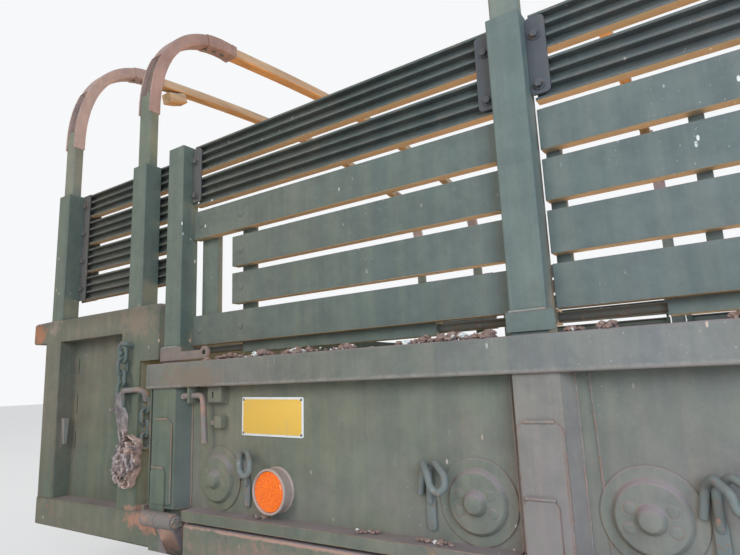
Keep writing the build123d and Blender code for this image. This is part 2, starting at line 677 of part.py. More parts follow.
# Backrest boards between the stakes, ribs outwards, with their angle plates
with BuildPart() as backrests:
    angle_zs = (rows(SEAT_ROWS, 1)[0] + ANGLE_SHORT, RACK_TOP - ANGLE_SHORT)
    for x in STAKE_XS[:-1]:
        rear, front = bay(x)
        for z in rows(SEAT_ROWS, BACK_ROWS):
            plank(rear, front, PLANK_Y - PLANK_T, z, 1, 4)
        for xs in ((front - ANGLE_L, front + SIDE_GAP), (rear - SIDE_GAP, rear + ANGLE_L)):
            block(xs, (PLANK_Y + FIT, PLANK_Y + SHEET), angle_zs)
keep_pair(backrests.part, "backrests")

# Corner rack: four boards beside the fixed section, from the front stake past the rear one
with BuildPart() as corner_rack:
    stake_in = FIXED_Y - POST_WALL - FIT - STAKE_D
    front = POST_A_X - STAKE_W / 2 - SIDE_GAP
    rear = CORNER_REAR + 2
    rack_zs = (rows(2, 1)[0], RACK_TOP)
    for z in rows(2, 4):
        plank(rear, front, stake_in - FIT - PLANK_T, z, 1, 4)
    for xs in ((rear, rear + RACK_PLATE_W), (front - RACK_PLATE_W, front + SIDE_GAP + STAKE_W / 2)):
        block(xs, (stake_in - 2 * FIT - PLANK_T - SHEET, stake_in - 2 * FIT - PLANK_T), rack_zs)
    block((front - RACK_PLATE_W, front + SIDE_GAP), (stake_in, stake_in + SHEET), rack_zs)
keep_pair(corner_rack.part, "corner_rack")

# Seat hinge rods, one along each side, in brackets on the stakes
with BuildPart() as seat_rods:
    hole = SEAT_ROD_R + FIT
    for side in (-1, 1):
        ys = sorted((side * (SEAT_AXIS_Y - EYE_HALF), side * STAKE_IN_Y))
        for x in STAKE_XS:
            xs = (x - STAKE_W / 2, x + STAKE_W / 2)
            block(xs, ys, (SEAT_AXIS_Z - EYE_HALF, SEAT_AXIS_Z + EYE_HALF))
            block((xs[0] - 1, xs[1] + 1), (side * SEAT_AXIS_Y - hole, side * SEAT_AXIS_Y + hole),
                  (SEAT_AXIS_Z - hole, SEAT_AXIS_Z + hole), mode=Mode.SUBTRACT)
        rod_x((STAKE_XS[-1] - STAKE_W / 2, STAKE_XS[0] + STAKE_W / 2), side * SEAT_AXIS_Y,
              SEAT_AXIS_Z, SEAT_ROD_R)
keep(seat_rods.part, "seat_rods")

# Folding troop seats, stored folded up, each one its own piece
SEAT_TOP = rows(SEAT_ROWS - 1, 1)[0] + PLANK_H
for i, x in enumerate(STAKE_XS[:-1]):
    with BuildPart() as seat:
        rear, front = bay(x)
        back = PLANK_Y - PLANK_T - FIT
        sleeve_ys = (SEAT_AXIS_Y - EYE_HALF, back)
        sleeve_zs = (SEAT_AXIS_Z - EYE_HALF, SEAT_AXIS_Z + EYE_HALF)
        for row, z in enumerate(rows(0, SEAT_ROWS)):
            inset = SLAT_INSET if 0 < row < SEAT_ROWS - 1 else 0
            plank(rear + inset, front - inset, PLANK_Y, z, -1, 3)
        for centre in (front - BATTEN_X, rear + BATTEN_X):
            xs = (centre - BATTEN_W / 2, centre + BATTEN_W / 2)
            block(xs, (back - BATTEN_T, back), (SEAT_AXIS_Z, SEAT_TOP - ANGLE_SHORT))
        sleeve = (rear + BATTEN_X - BATTEN_W / 2, front - BATTEN_X + BATTEN_W / 2)
        block(sleeve, sleeve_ys, sleeve_zs)
        rod_x((sleeve[0] - 1, sleeve[1] + 1), SEAT_AXIS_Y, SEAT_AXIS_Z, SEAT_ROD_R + PIN_GAP,
              mode=Mode.SUBTRACT)
        for centre in (front - LEG_X, rear + LEG_X):
            leg = [
                (centre - LEG_W / 2, back),
                (centre - LEG_W / 2, back - LEG_D),
                (centre - LEG_W / 2 + LEG_WALL, back - LEG_D),
                (centre - LEG_W / 2 + LEG_WALL, back - LEG_WALL),
                (centre + LEG_W / 2 - LEG_WALL, back - LEG_WALL),
                (centre + LEG_W / 2 - LEG_WALL, back - LEG_D),
                (centre + LEG_W / 2, back - LEG_D),
                (centre + LEG_W / 2, back),
            ]
            profile(Plane.XY.offset(SEAT_Z + LEG_SHORT), leg, SEAT_TOP - SEAT_Z - 2 * LEG_SHORT)
    keep(seat.part, f"seat_left_{i + 1}")
    keep(seat.part.mirror(Plane.XZ), f"seat_right_{i + 1}")

# Bows: steel legs and shoulders, and timber roof beams held between the ends of the shoulders
FIXED_BOW_Y = FIXED_Y - POST_WALL - FIT - STAKE_D / 2
BOWS = [(POST_A_X, FIXED_BOW_Y), (POST_B_X, FIXED_BOW_Y)] + [(x, BOW_Y) for x in STAKE_XS[1:]]
ARCH_R = (BEAM_END_Y ** 2 + (RIDGE_Z - BEAM_END_Z) ** 2) / (2 * (RIDGE_Z - BEAM_END_Z))


def arch_band(above, below):
    """The roof arch's band in the YZ plane, grown above and below the timber."""
    with Locations((0, RIDGE_Z - ARCH_R)):
        Circle(ARCH_R + above)
        Circle(ARCH_R - BEAM_T - below, mode=Mode.SUBTRACT)


with BuildPart() as bow_frames:
    for x, leg_y in BOWS:
        with BuildSketch(Plane.YZ.offset(x)) as outline:
            arch_band(SLEEVE_T, SLEEVE_T)
            with Locations((BEAM_END_Y - SLEEVE_L / 2 + 10, BEAM_END_Z)):
                Rectangle(SLEEVE_L + 20, 300, mode=Mode.INTERSECT)
            with BuildLine() as centre:
                FilletPolyline(
                    (leg_y, BOW_FOOT),
                    (leg_y, BOW_CORNER_Z),
                    (BEAM_END_Y, BEAM_END_Z - BEAM_T / 2),
                    radius=BOW_BEND_R,
                )
            trace(centre.line, line_width=BOW_T)
        with BuildSketch(Plane.YZ.offset(x)) as timber:
            arch_band(0, 0)
            Rectangle(2 * BEAM_END_Y, 2 * RIDGE_Z + 10, mode=Mode.INTERSECT)
        steel = extrude(outline.sketch, amount=BOW_W / 2, both=True, mode=Mode.PRIVATE)
        slot = extrude(timber.sketch, amount=BOW_W / 2 + 1, both=True, mode=Mode.PRIVATE)
        side_steel = steel - slot
        add(side_steel)
        add(side_steel.mirror(Plane.XZ))
keep(bow_frames.part, "bow_frames")

with BuildPart() as bow_beams:
    for x, leg_y in BOWS:
        with BuildSketch(Plane.YZ.offset(x)) as timber:
            arch_band(0, 0)
            with Locations((0, RIDGE_Z)):
                Rectangle(2 * BEAM_END_Y, 400, mode=Mode.INTERSECT)
        extrude(timber.sketch, amount=BOW_W / 2 - 2, both=True)
keep(bow_beams.part, "bow_beams")

# Chains on the fixed sections' rear posts, each of eight-sided links
with BuildPart() as link:
    with BuildSketch(Plane.XZ):
        for inset, cut, how in ((0, LINK_CUT, Mode.ADD), (LINK_BAR, LINK_INNER_CUT, Mode.SUBTRACT)):
            half_w = LINK_W / 2 - inset
            half_l = LINK_L / 2 - inset
            with BuildLine():
                Polyline(
                    (half_w, half_l - cut),
                    (half_w - cut, half_l),
                    (cut - half_w, half_l),
                    (-half_w, half_l - cut),
                    (-half_w, cut - half_l),
                    (cut - half_w, -half_l),
                    (half_w - cut, -half_l),
                    (half_w, cut - half_l),
                    close=True,
                )
            make_face(mode=how)
    extrude(amount=LINK_BAR / 2, both=True)
link_pitch = LINK_L - 2 * LINK_BAR - FIT
CHAINS = [
    # x, y, top, links
    (POST_B_X + 6.0, FIXED_Y + LINK_W / 2 + 1.0, DECK_Z + 406.0, 5),
    (POST_B_X - POST_W / 2 - 18.0, FIXED_Y - 22.0, DECK_Z + 298.0, 4),
]
with BuildPart() as chains:
    for x, y, top, links in CHAINS:
        for i in range(links):
            with Locations(Location((x, y, top - LINK_L / 2 - i * link_pitch), (0, 0, 90 * (i % 2)))):
                add(link.part)
    x, y, top, links = CHAINS[0]
    peg = (top - LINK_BAR - FIT - 2 * CHAIN_PEG_R, top - LINK_BAR - FIT)
    block((x - CHAIN_PEG_R, x + CHAIN_PEG_R), (FIXED_Y, y + LINK_BAR), peg)
    x, y, top, links = CHAINS[1]
    peg = (top - LINK_BAR - FIT - 2 * CHAIN_PEG_R, top - LINK_BAR - FIT)
    block((x - 10, POST_B_X - POST_W / 2), (y - CHAIN_PEG_R, y + CHAIN_PEG_R), peg)
keep_pair(chains.part, "chains")

# Torn strap that hangs in a bundle from the left chain
STRAP_SECTIONS = [
    # upper end below the chain, lower end, how far behind the chain, share of the bundle's girth
    (FIT, 62.0, 2.0, 0.28),
    (62.0, 92.0, 24.0, 0.62),
    (92.0, 160.0, 44.0, 1.0),
    (160.0, 176.0, 48.0, 0.6),
]
STRAP_HALF_X = 66.0
STRAP_HALF_Y = 23.0
STRAP_OUT = 26.0
STRAP_SIDES = 8
with BuildPart() as torn_strap:
    x, y, top, links = CHAINS[0]
    low_link = top - LINK_L - (links - 1) * link_pitch
    turns = [2 * pi * (i + 0.5) / STRAP_SIDES for i in range(STRAP_SIDES)]
    for upper, lower, behind, share in STRAP_SECTIONS:
        ring = [(x - behind + share * STRAP_HALF_X * cos(t),
                 FIXED_Y + STRAP_OUT + share * STRAP_HALF_Y * sin(t)) for t in turns]
        profile(Plane.XY.offset(low_link - lower), ring, lower - upper)
keep(torn_strap.part, "torn_strap")
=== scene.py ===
"""Looks of a dropside cargo body: faded olive paint, rust, dust, rods, dishes, welds and bolts."""
import json
import random
from math import cos, exp, pi, radians, sin, tan
from random import choice, gauss, uniform

import bmesh
import bpy
from bmesh import ops
from mathutils import Matrix, Vector, noise

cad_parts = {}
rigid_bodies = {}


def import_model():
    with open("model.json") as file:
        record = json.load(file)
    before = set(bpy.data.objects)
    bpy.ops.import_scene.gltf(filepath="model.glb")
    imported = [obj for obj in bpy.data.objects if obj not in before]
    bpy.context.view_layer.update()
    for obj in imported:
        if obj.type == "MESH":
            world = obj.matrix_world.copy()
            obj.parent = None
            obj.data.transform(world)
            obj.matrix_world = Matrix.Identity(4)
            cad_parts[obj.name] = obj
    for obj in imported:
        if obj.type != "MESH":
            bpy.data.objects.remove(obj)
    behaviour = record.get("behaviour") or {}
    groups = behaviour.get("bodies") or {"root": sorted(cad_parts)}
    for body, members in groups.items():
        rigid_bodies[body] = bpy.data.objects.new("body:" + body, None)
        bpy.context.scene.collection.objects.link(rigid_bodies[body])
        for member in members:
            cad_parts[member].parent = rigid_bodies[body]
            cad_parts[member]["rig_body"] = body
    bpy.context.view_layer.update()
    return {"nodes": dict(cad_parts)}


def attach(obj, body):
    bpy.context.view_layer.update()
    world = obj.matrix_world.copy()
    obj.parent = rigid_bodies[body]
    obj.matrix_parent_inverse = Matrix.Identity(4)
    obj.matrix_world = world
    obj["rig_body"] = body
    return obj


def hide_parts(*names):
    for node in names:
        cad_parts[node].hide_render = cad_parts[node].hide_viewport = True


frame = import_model()
random.seed(11)
noise.seed_set(11)

# Sizes shared with the part, in metres
SIDES = {"left": 1, "right": -1}
RAIL_Y = 1.22
FACE_Y = 1.18
HAT_Y = 1.21
GATE_TOP = 0.55
GATE_FRONT = 1.563
GATE_REAR = -2.073
RAIL_LOW = 0.492
SILL_TOP = 0.226
LEDGE_Z = 0.229
STAKES = [1.505 - 0.88 * i for i in range(5)]
POSTS = [STAKES[0]] + [x - 0.008 for x in STAKES[1:-1]] + [STAKES[-1]]
POST_A = 2.075
POST_B = 1.681
FIXED_Y = 1.187
FIXED_TOP = 0.706
FIXED_RAIL_LOW = 0.64
FIXED_FRONT = 2.191
STAKE_OUT = 1.194
STAKE_IN = 1.144
COLLAR_TOP = 0.59
RACK_OUT = FIXED_Y - 0.0553
RACK_TOP = 1.105
PLANK_H = 0.072
PITCH = 0.0885
SEAT_Z = RACK_TOP - 5 * PITCH - PLANK_H
PLANK_Y = 1.162
HINGE_Y = 1.224
HINGE_Z = 0.203
DISH_Z = 0.294
DISHES = [1.345, 0.736, 0.484, -0.144, -0.396, -1.024, -1.276, -1.874]
HOOKS = [1.243, 0.829, 0.395, -0.051, -0.485, -0.931, -1.365, -1.781]


def new_object(name, data):
    """An object that is in the scene."""
    made = bpy.data.objects.new(name, data)
    bpy.context.scene.collection.objects.link(made)
    return made


# Camera and plain soft light
camera = new_object("camera", bpy.data.cameras.new("camera"))
camera.data.lens = 27.18
camera.data.sensor_width = 36
camera.data.clip_start = 0.02
camera.data.clip_end = 200
camera.matrix_world = Matrix((
    (-0.82700879, -0.13421858, -0.54585123, 0.345),
    (-0.56079678, 0.1295454, 0.81770096, 2.0527),
    (-0.03888404, 0.98246971, -0.18229726, 0.4896),
    (0, 0, 0, 1),
))
bpy.context.scene.camera = camera
bpy.context.scene.view_settings.view_transform = "Standard"


def lamp(name, at, to, size, watts, colour):
    """A large soft area lamp that points at a place."""
    data = bpy.data.lights.new(name, "AREA")
    data.shape = "DISK"
    data.size = size
    data.energy = watts
    data.color = colour
    light = new_object(name, data)
    light.location = at
    light.rotation_mode = "QUATERNION"
    light.rotation_quaternion = (Vector(to) - Vector(at)).to_track_quat("-Z", "Y")


lamp("key", (2.5, 6.5, 3.6), (0.6, 1.1, 0.6), 4, 162, (1, 0.97, 0.9))
lamp("cool_side", (-2.4, 4.2, 1.8), (-0.5, 1.1, 0.7), 2.5, 150, (0.62, 0.8, 1))
lamp("far_side", (0.5, -6, 3), (0.5, 0, 0.6), 4, 190, (1, 0.93, 0.84))
lamp("low_warm", (0.6, 0.1, 0.38), (0.6, 1.15, 0.95), 1.4, 34, (1, 0.6, 0.3))


class Nodes:
    """A small helper that fills a node tree."""

    def __init__(self, tree):
        self.tree = tree
        tree.nodes.clear()

    def give(self, socket, value):
        """Links a socket, or sets its number or colour."""
        if isinstance(value, bpy.types.NodeSocket):
            self.tree.links.new(value, socket)
        else:
            socket.default_value = value

    def node(self, kind, inputs=None, **settings):
        """One node with its inputs set or linked."""
        made = self.tree.nodes.new("ShaderNode" + kind)
        for key, value in settings.items():
            setattr(made, key, value)
        for key, value in (inputs or {}).items():
            self.give(made.inputs[key], value)
        return made

    def math(self, operation, a, b=0):
        """A number worked out of two."""
        return self.node("Math", {0: a, 1: b}, operation=operation).outputs[0]

    def add(self, a, b):
        """A sum."""
        return self.math("ADD", a, b)

    def sub(self, a, b):
        """A difference."""
        return self.math("SUBTRACT", a, b)

    def mul(self, a, b):
        """A product."""
        return self.math("MULTIPLY", a, b)


# World: dim for the light it gives, bright where it is seen
world = bpy.data.worlds.new("world")
bpy.context.scene.world = world
world.use_nodes = True
sky = Nodes(world.node_tree)
rays = sky.node("LightPath").outputs
seen = sky.math("MAXIMUM", rays["Is Camera Ray"], rays["Is Glossy Ray"])
seen = sky.math("MAXIMUM", seen, rays["Is Transmission Ray"])
soft_sky = sky.node("Background", {"Color": (0.93, 0.96, 1, 1), "Strength": 0.36})
plain_sky = sky.node("Background", {"Color": (0.93, 0.94, 0.95, 1), "Strength": 1})
either = sky.node("MixShader", {0: seen, 1: soft_sky.outputs[0], 2: plain_sky.outputs[0]})
sky.node("OutputWorld", {"Surface": either.outputs[0]})


class Graph(Nodes):
    """One material's nodes, in the object's own coordinates."""

    def __init__(self, name):
        self.mat = bpy.data.materials.new(name)
        self.mat.use_nodes = True
        super().__init__(self.mat.node_tree)
        self.shader = self.node("BsdfPrincipled")
        self.out = self.node("OutputMaterial", {"Surface": self.shader.outputs[0]})
        coord = self.node("TexCoord").outputs
        self.place = coord["Object"]
        place = self.node("SeparateXYZ", {0: self.place}).outputs
        self.x, self.z = place["X"], place["Z"]
        self.up = self.node("SeparateXYZ", {0: coord["Normal"]}).outputs["Z"]

    def ramp(self, value, low, high, to_low=0, to_high=1):
        """A smooth step of a number between two levels."""
        inputs = {"Value": value, "From Min": low, "From Max": high, "To Min": to_low, "To Max": to_high}
        return self.node("MapRange", inputs, interpolation_type="SMOOTHSTEP").outputs[0]

    def mapped(self, stretch, shift):
        """The object's coordinates, stretched and shifted."""
        inputs = {"Vector": self.place, "Scale": stretch, "Location": shift}
        return self.node("Mapping", inputs).outputs[0]

    def noise(self, scale, detail=5, rough=0.6, stretch=(1, 1, 1), shift=(0, 0, 0)):
        """Noise in the object's coordinates, from 0 to 1."""
        inputs = {"Vector": self.mapped(stretch, shift), "Scale": scale, "Detail": detail, "Roughness": rough}
        return self.node("TexNoise", inputs).outputs[0]

    def patch(self, low, high, *spots, top=1, **place):
        """A smooth step of noise between two levels."""
        return self.ramp(self.noise(*spots, **place), low, high, 0, top)

    def cells(self, scale, stretch=(1, 1, 1), shift=(0, 0, 0)):
        """Distance to the nearest of scattered points."""
        inputs = {"Vector": self.mapped(stretch, shift), "Scale": scale}
        return self.node("TexVoronoi", inputs).outputs["Distance"]

    def mix(self, share, a, b, blend="MIX"):
        """A colour between two."""
        a, b = [(*value, 1) if isinstance(value, tuple) else value for value in (a, b)]
        made = self.node("Mix", {0: share, 6: a, 7: b}, data_type="RGBA", blend_type=blend)
        return made.outputs[2]

    def tint(self, colour, by):
        """A colour times another."""
        return self.mix(1, colour, by, "MULTIPLY")

    def edge(self, radius):
        """1 along an edge, 0 on a flat."""
        rounded_normal = self.node("Bevel", {"Radius": radius}, samples=4).outputs[0]
        flat_normal = self.node("NewGeometry").outputs["Normal"]
        inputs = {0: rounded_normal, 1: flat_normal}
        dot = self.node("VectorMath", inputs, operation="DOT_PRODUCT")
        return self.ramp(dot.outputs["Value"], 0.995, 0.86)

    def finish(self, colour, rough, bump, depth, strength, shine_and_glow=None):
        """Sets or links colour, roughness, bump, and shine and any painted glow in the shader."""
        inputs = {"Height": bump, "Distance": depth, "Strength": strength}
        normal = self.node("Bump", inputs).outputs[0]
        values = {"Base Color": colour, "Roughness": rough, "Normal": normal, **(shine_and_glow or {})}
        for key, value in values.items():
            self.give(self.shader.inputs[key], value)
        return self.mat


MATS = {}
RUST = (0.27, 0.115, 0.055)
PINK_RUST = (0.4, 0.225, 0.17)
ORANGE_RUST = (0.42, 0.165, 0.085)
DUST = (0.27, 0.225, 0.215)
WHITE = (0.74, 0.73, 0.69)
OLIVE = (0.15, 0.166, 0.12)
OLIVE_BROWN = (0.195, 0.175, 0.138)


def stain(g, colour, at, size, tint):
    """A ragged stain round a place in X and Z."""
    dx, dz = [g.math("DIVIDE", g.sub(axis, middle), reach)
              for axis, middle, reach in zip((g.x, g.z), at, size)]
    far = g.math("SQRT", g.add(g.mul(dx, dx), g.mul(dz, dz)))
    ragged = g.mul(g.sub(g.noise(42, 8, 0.78, shift=(1, 8, 2)), 0.5), 4)
    return g.mix(g.ramp(g.add(far, ragged), 1.15, 0.45, 0, 0.8), colour, tint)


def paint(name, base, aged, rust, dust, low_dust, specks, edge, dust_from=0.45, under=0, streaks=0.3,
          stains=(), low_edge=None):
    """Old matt paint: blotches, runs, dust on what faces up, rust, worn edges, scratches and droppings; with
    painted cool light towards the rear and, where asked, painted warm reflected light under the boards.
    """
    g = Graph(name + "_paint")
    colour = g.mix(g.patch(0.36, 0.64, 1.7, 6, 0.62), base, aged)
    # Painted light: the paint turns brighter and bluer towards the rear (low X), standing in for cool side
    # light.
    colour = g.mix(g.ramp(g.x, 1.3, 0.35), colour, g.tint(colour, (1.1, 1.14, 1.3)))
    mottle = g.noise(16, 8, 0.72)
    colour = g.tint(colour, g.mix(g.ramp(mottle, 0.3, 0.7), (0.84, 0.84, 0.84), (1.14, 1.13, 1.1)))
    run = g.patch(0.35, 0.7, 1, 5, 0.65, (26, 26, 1.3))
    colour = g.tint(colour, g.mix(run, (0.88, 0.91, 0.91), (1.1, 1.06, 1)))
    if streaks:
        pale = g.patch(0.64, 0.74, 1.3, 6, 0.75, (34, 34, 3), (2, 6, 1), top=streaks)
        colour = g.mix(pale, colour, (0.36, 0.33, 0.28))
    if low_dust:
        share = g.mul(g.ramp(g.z, 0.46, 0.24), g.ramp(g.noise(5, 7, 0.7), 0.35, 0.75, 0.1, low_dust))
        colour = g.mix(share, colour, DUST)
    # Painted light: warm orange reflected light on the downward faces along each board's lower edge.
    if under:
        row = g.math("FRACT", g.add(g.math("DIVIDE", g.sub(g.z, SEAT_Z), PITCH), 0.5))
        low = g.ramp(g.math("ABSOLUTE", g.sub(row, 0.5)), 0.05, 0.02)
        facing = g.mul(g.ramp(g.up, -0.3, -0.8, 0, under), low)
        colour = g.mix(facing, colour, g.mix(g.noise(6, 5, 0.7), (0.3, 0.27, 0.17), (0.66, 0.44, 0.26)))
    spots = g.patch(0.7 - 0.16 * rust, 0.76 - 0.14 * rust, 7.5, 10, 0.78, shift=(3, 1, 7))
    worn = g.mul(g.edge(0.0035), g.patch(0.62 - 0.25 * edge, 0.8 - 0.25 * edge, 24, 6, 0.75))
    rusty = g.math("MAXIMUM", g.mul(spots, min(1, 0.45 + rust)), g.mul(worn, 0.85))
    rust_tone = g.patch(0.4, 0.62, 11, 6, 0.7, shift=(9, 9, 9))
    colour = g.mix(rusty, colour, g.mix(rust_tone, RUST, PINK_RUST))
    if low_edge:
        height = g.add(g.z, g.mul(g.sub(g.noise(38, 8, 0.75, (1, 1, 0.3)), 0.5), 0.016))
        colour = g.mix(g.ramp(height, low_edge[1], low_edge[0], 0, 0.75), colour, (0.4, 0.335, 0.295))
    for at, size, tint in stains:
        colour = stain(g, colour, at, size, tint)
    facing = g.ramp(g.up, dust_from, min(0.95, dust_from + 0.45))
    share = g.mul(facing, g.ramp(g.noise(9, 8, 0.7), 0.25, 0.6, 0.45 * dust, dust))
    colour = g.mix(share, colour, g.mix(g.noise(13, 5, 0.6), (0.21, 0.165, 0.17), (0.37, 0.295, 0.29)))
    if specks:
        where = g.patch(0.56 - 0.1 * specks, 0.66 - 0.1 * specks, 2.6, 4, 0.6, shift=(5, 2, 8))
        drops = g.ramp(g.cells(46, (1, 1, 0.45)), 0.115, 0.075)
        fine = g.ramp(g.cells(150, (1, 1, 0.6), (4, 4, 4)), 0.12, 0.07)
        both = g.math("MAXIMUM", drops, g.mul(fine, 0.55))
        patchy = g.mul(both, g.patch(0.42, 0.55, 30, 3))
        fleck = g.mix(g.patch(0.45, 0.6, 3.1, 3, 0.5, shift=(7, 7, 1)), WHITE, (0.66, 0.45, 0.34))
        colour = g.mix(g.mul(where, patchy), colour, fleck)
    grain = g.add(g.mul(g.noise(260, 3, 0.6), 0.35), g.mul(mottle, 0.6))
    height = g.add(grain, g.mul(rusty, 0.5))
    rough = g.ramp(mottle, 0.2, 0.8, 0.62, 0.86)
    MATS[name] = g.finish(colour, rough, height, 0.0012, 0.45, {"Specular IOR Level": 0.3})


def timber(name, pale, deep, stretch, grey):
    """Weathered wood with its grain along one axis, greyer on top."""
    g = Graph(name + "_wood")
    grain = g.noise(2.2, 9, 0.7, stretch)
    bands = g.noise(5, 4, 0.6, tuple(s * 0.4 for s in stretch))
    colour = g.mix(g.ramp(grain, 0.32, 0.68), deep, pale)
    colour = g.mix(g.ramp(bands, 0.3, 0.75, 0, 0.5), colour, (0.3, 0.2, 0.12))
    old = g.mix(g.ramp(grain, 0.3, 0.7), tuple(0.6 * c for c in grey), grey)
    colour = g.mix(g.ramp(g.up, -0.6, 0.5, 0, 0.95), colour, old)
    blots = g.patch(0.6, 0.7, 6, 8, 0.75, shift=(2, 2, 2), top=0.6)
    MATS[name] = g.finish(g.mix(blots, colour, (0.62, 0.58, 0.52)), 0.82, grain, 0.0015, 0.7)


def steel(name, base, rust):
    """Rods and fittings: old paint worn through to brown rust."""
    g = Graph(name + "_steel")
    patches = g.noise(26, 8, 0.75)
    colour = g.mix(g.ramp(patches, 0.62 - 0.3 * rust, 0.72 - 0.2 * rust), base, PINK_RUST)
    pits = g.noise(120, 5, 0.7)
    colour = g.mix(g.ramp(pits, 0.52, 0.7, 0, 0.7), colour, RUST)
    pale = g.patch(0.6, 0.7, 40, 5, 0.7, shift=(3, 3, 3), top=0.35)
    colour = g.mix(pale, colour, (0.36, 0.37, 0.36))
    height = g.add(patches, g.mul(pits, 0.6))
    rough = g.ramp(patches, 0.3, 0.7, 0.5, 0.8)
    MATS[name] = g.finish(colour, rough, height, 0.0009, 0.6, {"Specular IOR Level": 0.4})


def coat(key, name, base, blot, rough):
    """A thin coat of one colour with stains and fine grain."""
    g = Graph(name)
    colour = g.mix(g.patch(0.52, 0.72, 34, 8, 0.72, top=0.6), base, blot)
    MATS[key] = g.finish(colour, rough, g.noise(300, 3), 0.0004, 0.4)


def webbing(key, name, deep, pale):
    """Old webbing: woven threads in two tones mixed by noise, with pale flecks."""
    g = Graph(name)
    colour = g.mix(g.patch(0.36, 0.62, 30, 7, 0.72), deep, pale)
    flecks = g.patch(0.57, 0.68, 55, 8, 0.8, shift=(5, 5, 5), top=0.6)
    colour = g.mix(flecks, colour, (0.66, 0.58, 0.54))
    threads = g.add(g.noise(900, 1, 0.5, (1, 1, 0.15)), g.noise(900, 1, 0.5, (0.15, 0.15, 1)))
    MATS[key] = g.finish(colour, 0.95, threads, 0.0012, 0.8, {"Sheen Weight": 0.2})


def lens():
    """An amber lens with fine prismatic cells under a smooth face, and a faint painted glow."""
    g = Graph("amber_lens")
    cells = g.cells(260, (1, 0.05, 1))
    colour = g.mix(g.ramp(cells, 0.15, 0.6), (1, 0.215, 0.002), (0.8, 0.12, 0.001))
    # Painted glow: a faint orange emission makes the lens glow, though it is no lamp.
    shine_and_glow = {"Coat Weight": 0.12, "Emission Color": (1, 0.16, 0, 1), "Emission Strength": 0.1}
    MATS["lens"] = g.finish(colour, 0.28, cells, 0.0008, 0.4, shine_and_glow)


# Paints, by two tones, then rust, dust, dust low down, specks and worn edges
paint("gate", OLIVE, OLIVE_BROWN, 0.2, 0.95, 0.5, 0.5, 0.5, streaks=0.22)
paint("rail", (0.16, 0.165, 0.13), (0.215, 0.195, 0.178), 0.3, 0.95, 0, 0.7, 0.9, streaks=0.55,
      stains=[((1.4, 0.512), (0.12, 0.034), (0.215, 0.16, 0.12))], low_edge=(0.4915, 0.501))
paint("hat", (0.175, 0.165, 0.128), (0.255, 0.215, 0.18), 0.45, 0.9, 0.8, 0.35, 0.9)
# Painted shade: darker, bluer paint for the front end hat's side faces.
paint("shade", (0.085, 0.105, 0.09), (0.115, 0.125, 0.105), 0.15, 0.9, 0.3, 0.5, 0.9, streaks=0.2)
paint("dish", (0.16, 0.168, 0.125), (0.205, 0.188, 0.15), 0.25, 0.95, 0, 0.3, 0.9, 0.12)
paint("post", (0.125, 0.15, 0.118), OLIVE, 0.15, 0.9, 0, 0.35, 0.5)
paint("fixed", (0.128, 0.148, 0.112), (0.18, 0.16, 0.125), 0.35, 0.9, 0, 0.3, 0.8, 0.8, streaks=0.4, stains=[
    ((2.17, 0.672), (0.05, 0.036), ORANGE_RUST), ((1.66, 0.672), (0.09, 0.05), (0.235, 0.18, 0.13)),
    ((2.07, 0.69), (0.03, 0.03), (0.3, 0.235, 0.19)), ((1.655, 0.206), (0.03, 0.007), (0.38, 0.2, 0.15))])
paint("stake", (0.128, 0.156, 0.132), (0.15, 0.168, 0.138), 0.05, 0.6, 0, 0.4, 0.35, streaks=0.15)
paint("collar", (0.15, 0.155, 0.14), (0.27, 0.19, 0.17), 0.9, 0.9, 0, 0.4, 0.9)
paint("angle", (0.085, 0.086, 0.084), (0.112, 0.104, 0.102), 0.15, 0.6, 0, 0.2, 0.5)
# under sets the strength of the painted warm reflected light along the boards' lower edges.
paint("plank", (0.122, 0.142, 0.12), (0.146, 0.156, 0.132), 0.04, 0.8, 0, 0.6, 0.3, under=0.85, streaks=0.12)
paint("ribbed", (0.088, 0.102, 0.09), (0.122, 0.118, 0.1), 0.1, 0.8, 0, 0.6, 0.5, under=0.9, streaks=0.1)
paint("sill", (0.15, 0.16, 0.122), (0.235, 0.185, 0.15), 0.75, 1, 0, 0.5, 1, stains=[
    ((1.595, 0.185), (0.085, 0.03), (0.46, 0.215, 0.15)),
    ((1.47, 0.165), (0.06, 0.045), (0.42, 0.225, 0.165)),
    ((1.1, 0.1975), (0.45, 0.0045), (0.5, 0.285, 0.215)), ((1.1, 0.15), (0.3, 0.04), (0.26, 0.185, 0.15))])
paint("under", (0.09, 0.095, 0.075), (0.15, 0.12, 0.095), 0.7, 0.6, 0, 0, 0.4)
paint("bow", (0.165, 0.185, 0.14), (0.215, 0.215, 0.175), 0.25, 0.5, 0, 0.3, 0.5)
paint("casting", (0.365, 0.24, 0.215), (0.47, 0.335, 0.3), 0.25, 0.3, 0, 0.5, 0.7)
paint("socket", (0.15, 0.115, 0.1), (0.235, 0.165, 0.145), 0.4, 0.3, 0, 0, 0.6)
steel("hinge", (0.205, 0.18, 0.165), 0.35)
steel("rod", (0.175, 0.19, 0.178), 0.1)
steel("latch", (0.225, 0.19, 0.17), 0.45)
steel("chain", (0.115, 0.145, 0.13), 0.15)
steel("bolt", (0.15, 0.155, 0.138), 0.15)
steel("weld", (0.25, 0.24, 0.21), 0.25)
timber("deck", (0.36, 0.29, 0.21), (0.2, 0.15, 0.11), (1.6, 30, 30), (0.33, 0.3, 0.27))
timber("beam", (0.8, 0.44, 0.16), (0.58, 0.28, 0.09), (30, 1.6, 30), (0.56, 0.52, 0.43))
lens()
coat("ring", "reflector_ring", (0.46, 0.34, 0.29), (0.22, 0.15, 0.12), 0.6)
coat("yellow", "plate_yellow", (0.8, 0.47, 0.075), (0.6, 0.42, 0.18), 0.5)
coat("white", "plate_white", (0.78, 0.76, 0.72), (0.45, 0.42, 0.38), 0.55)
coat("leaf", "dry_leaf", (0.3, 0.195, 0.16), (0.58, 0.44, 0.4), 0.9)
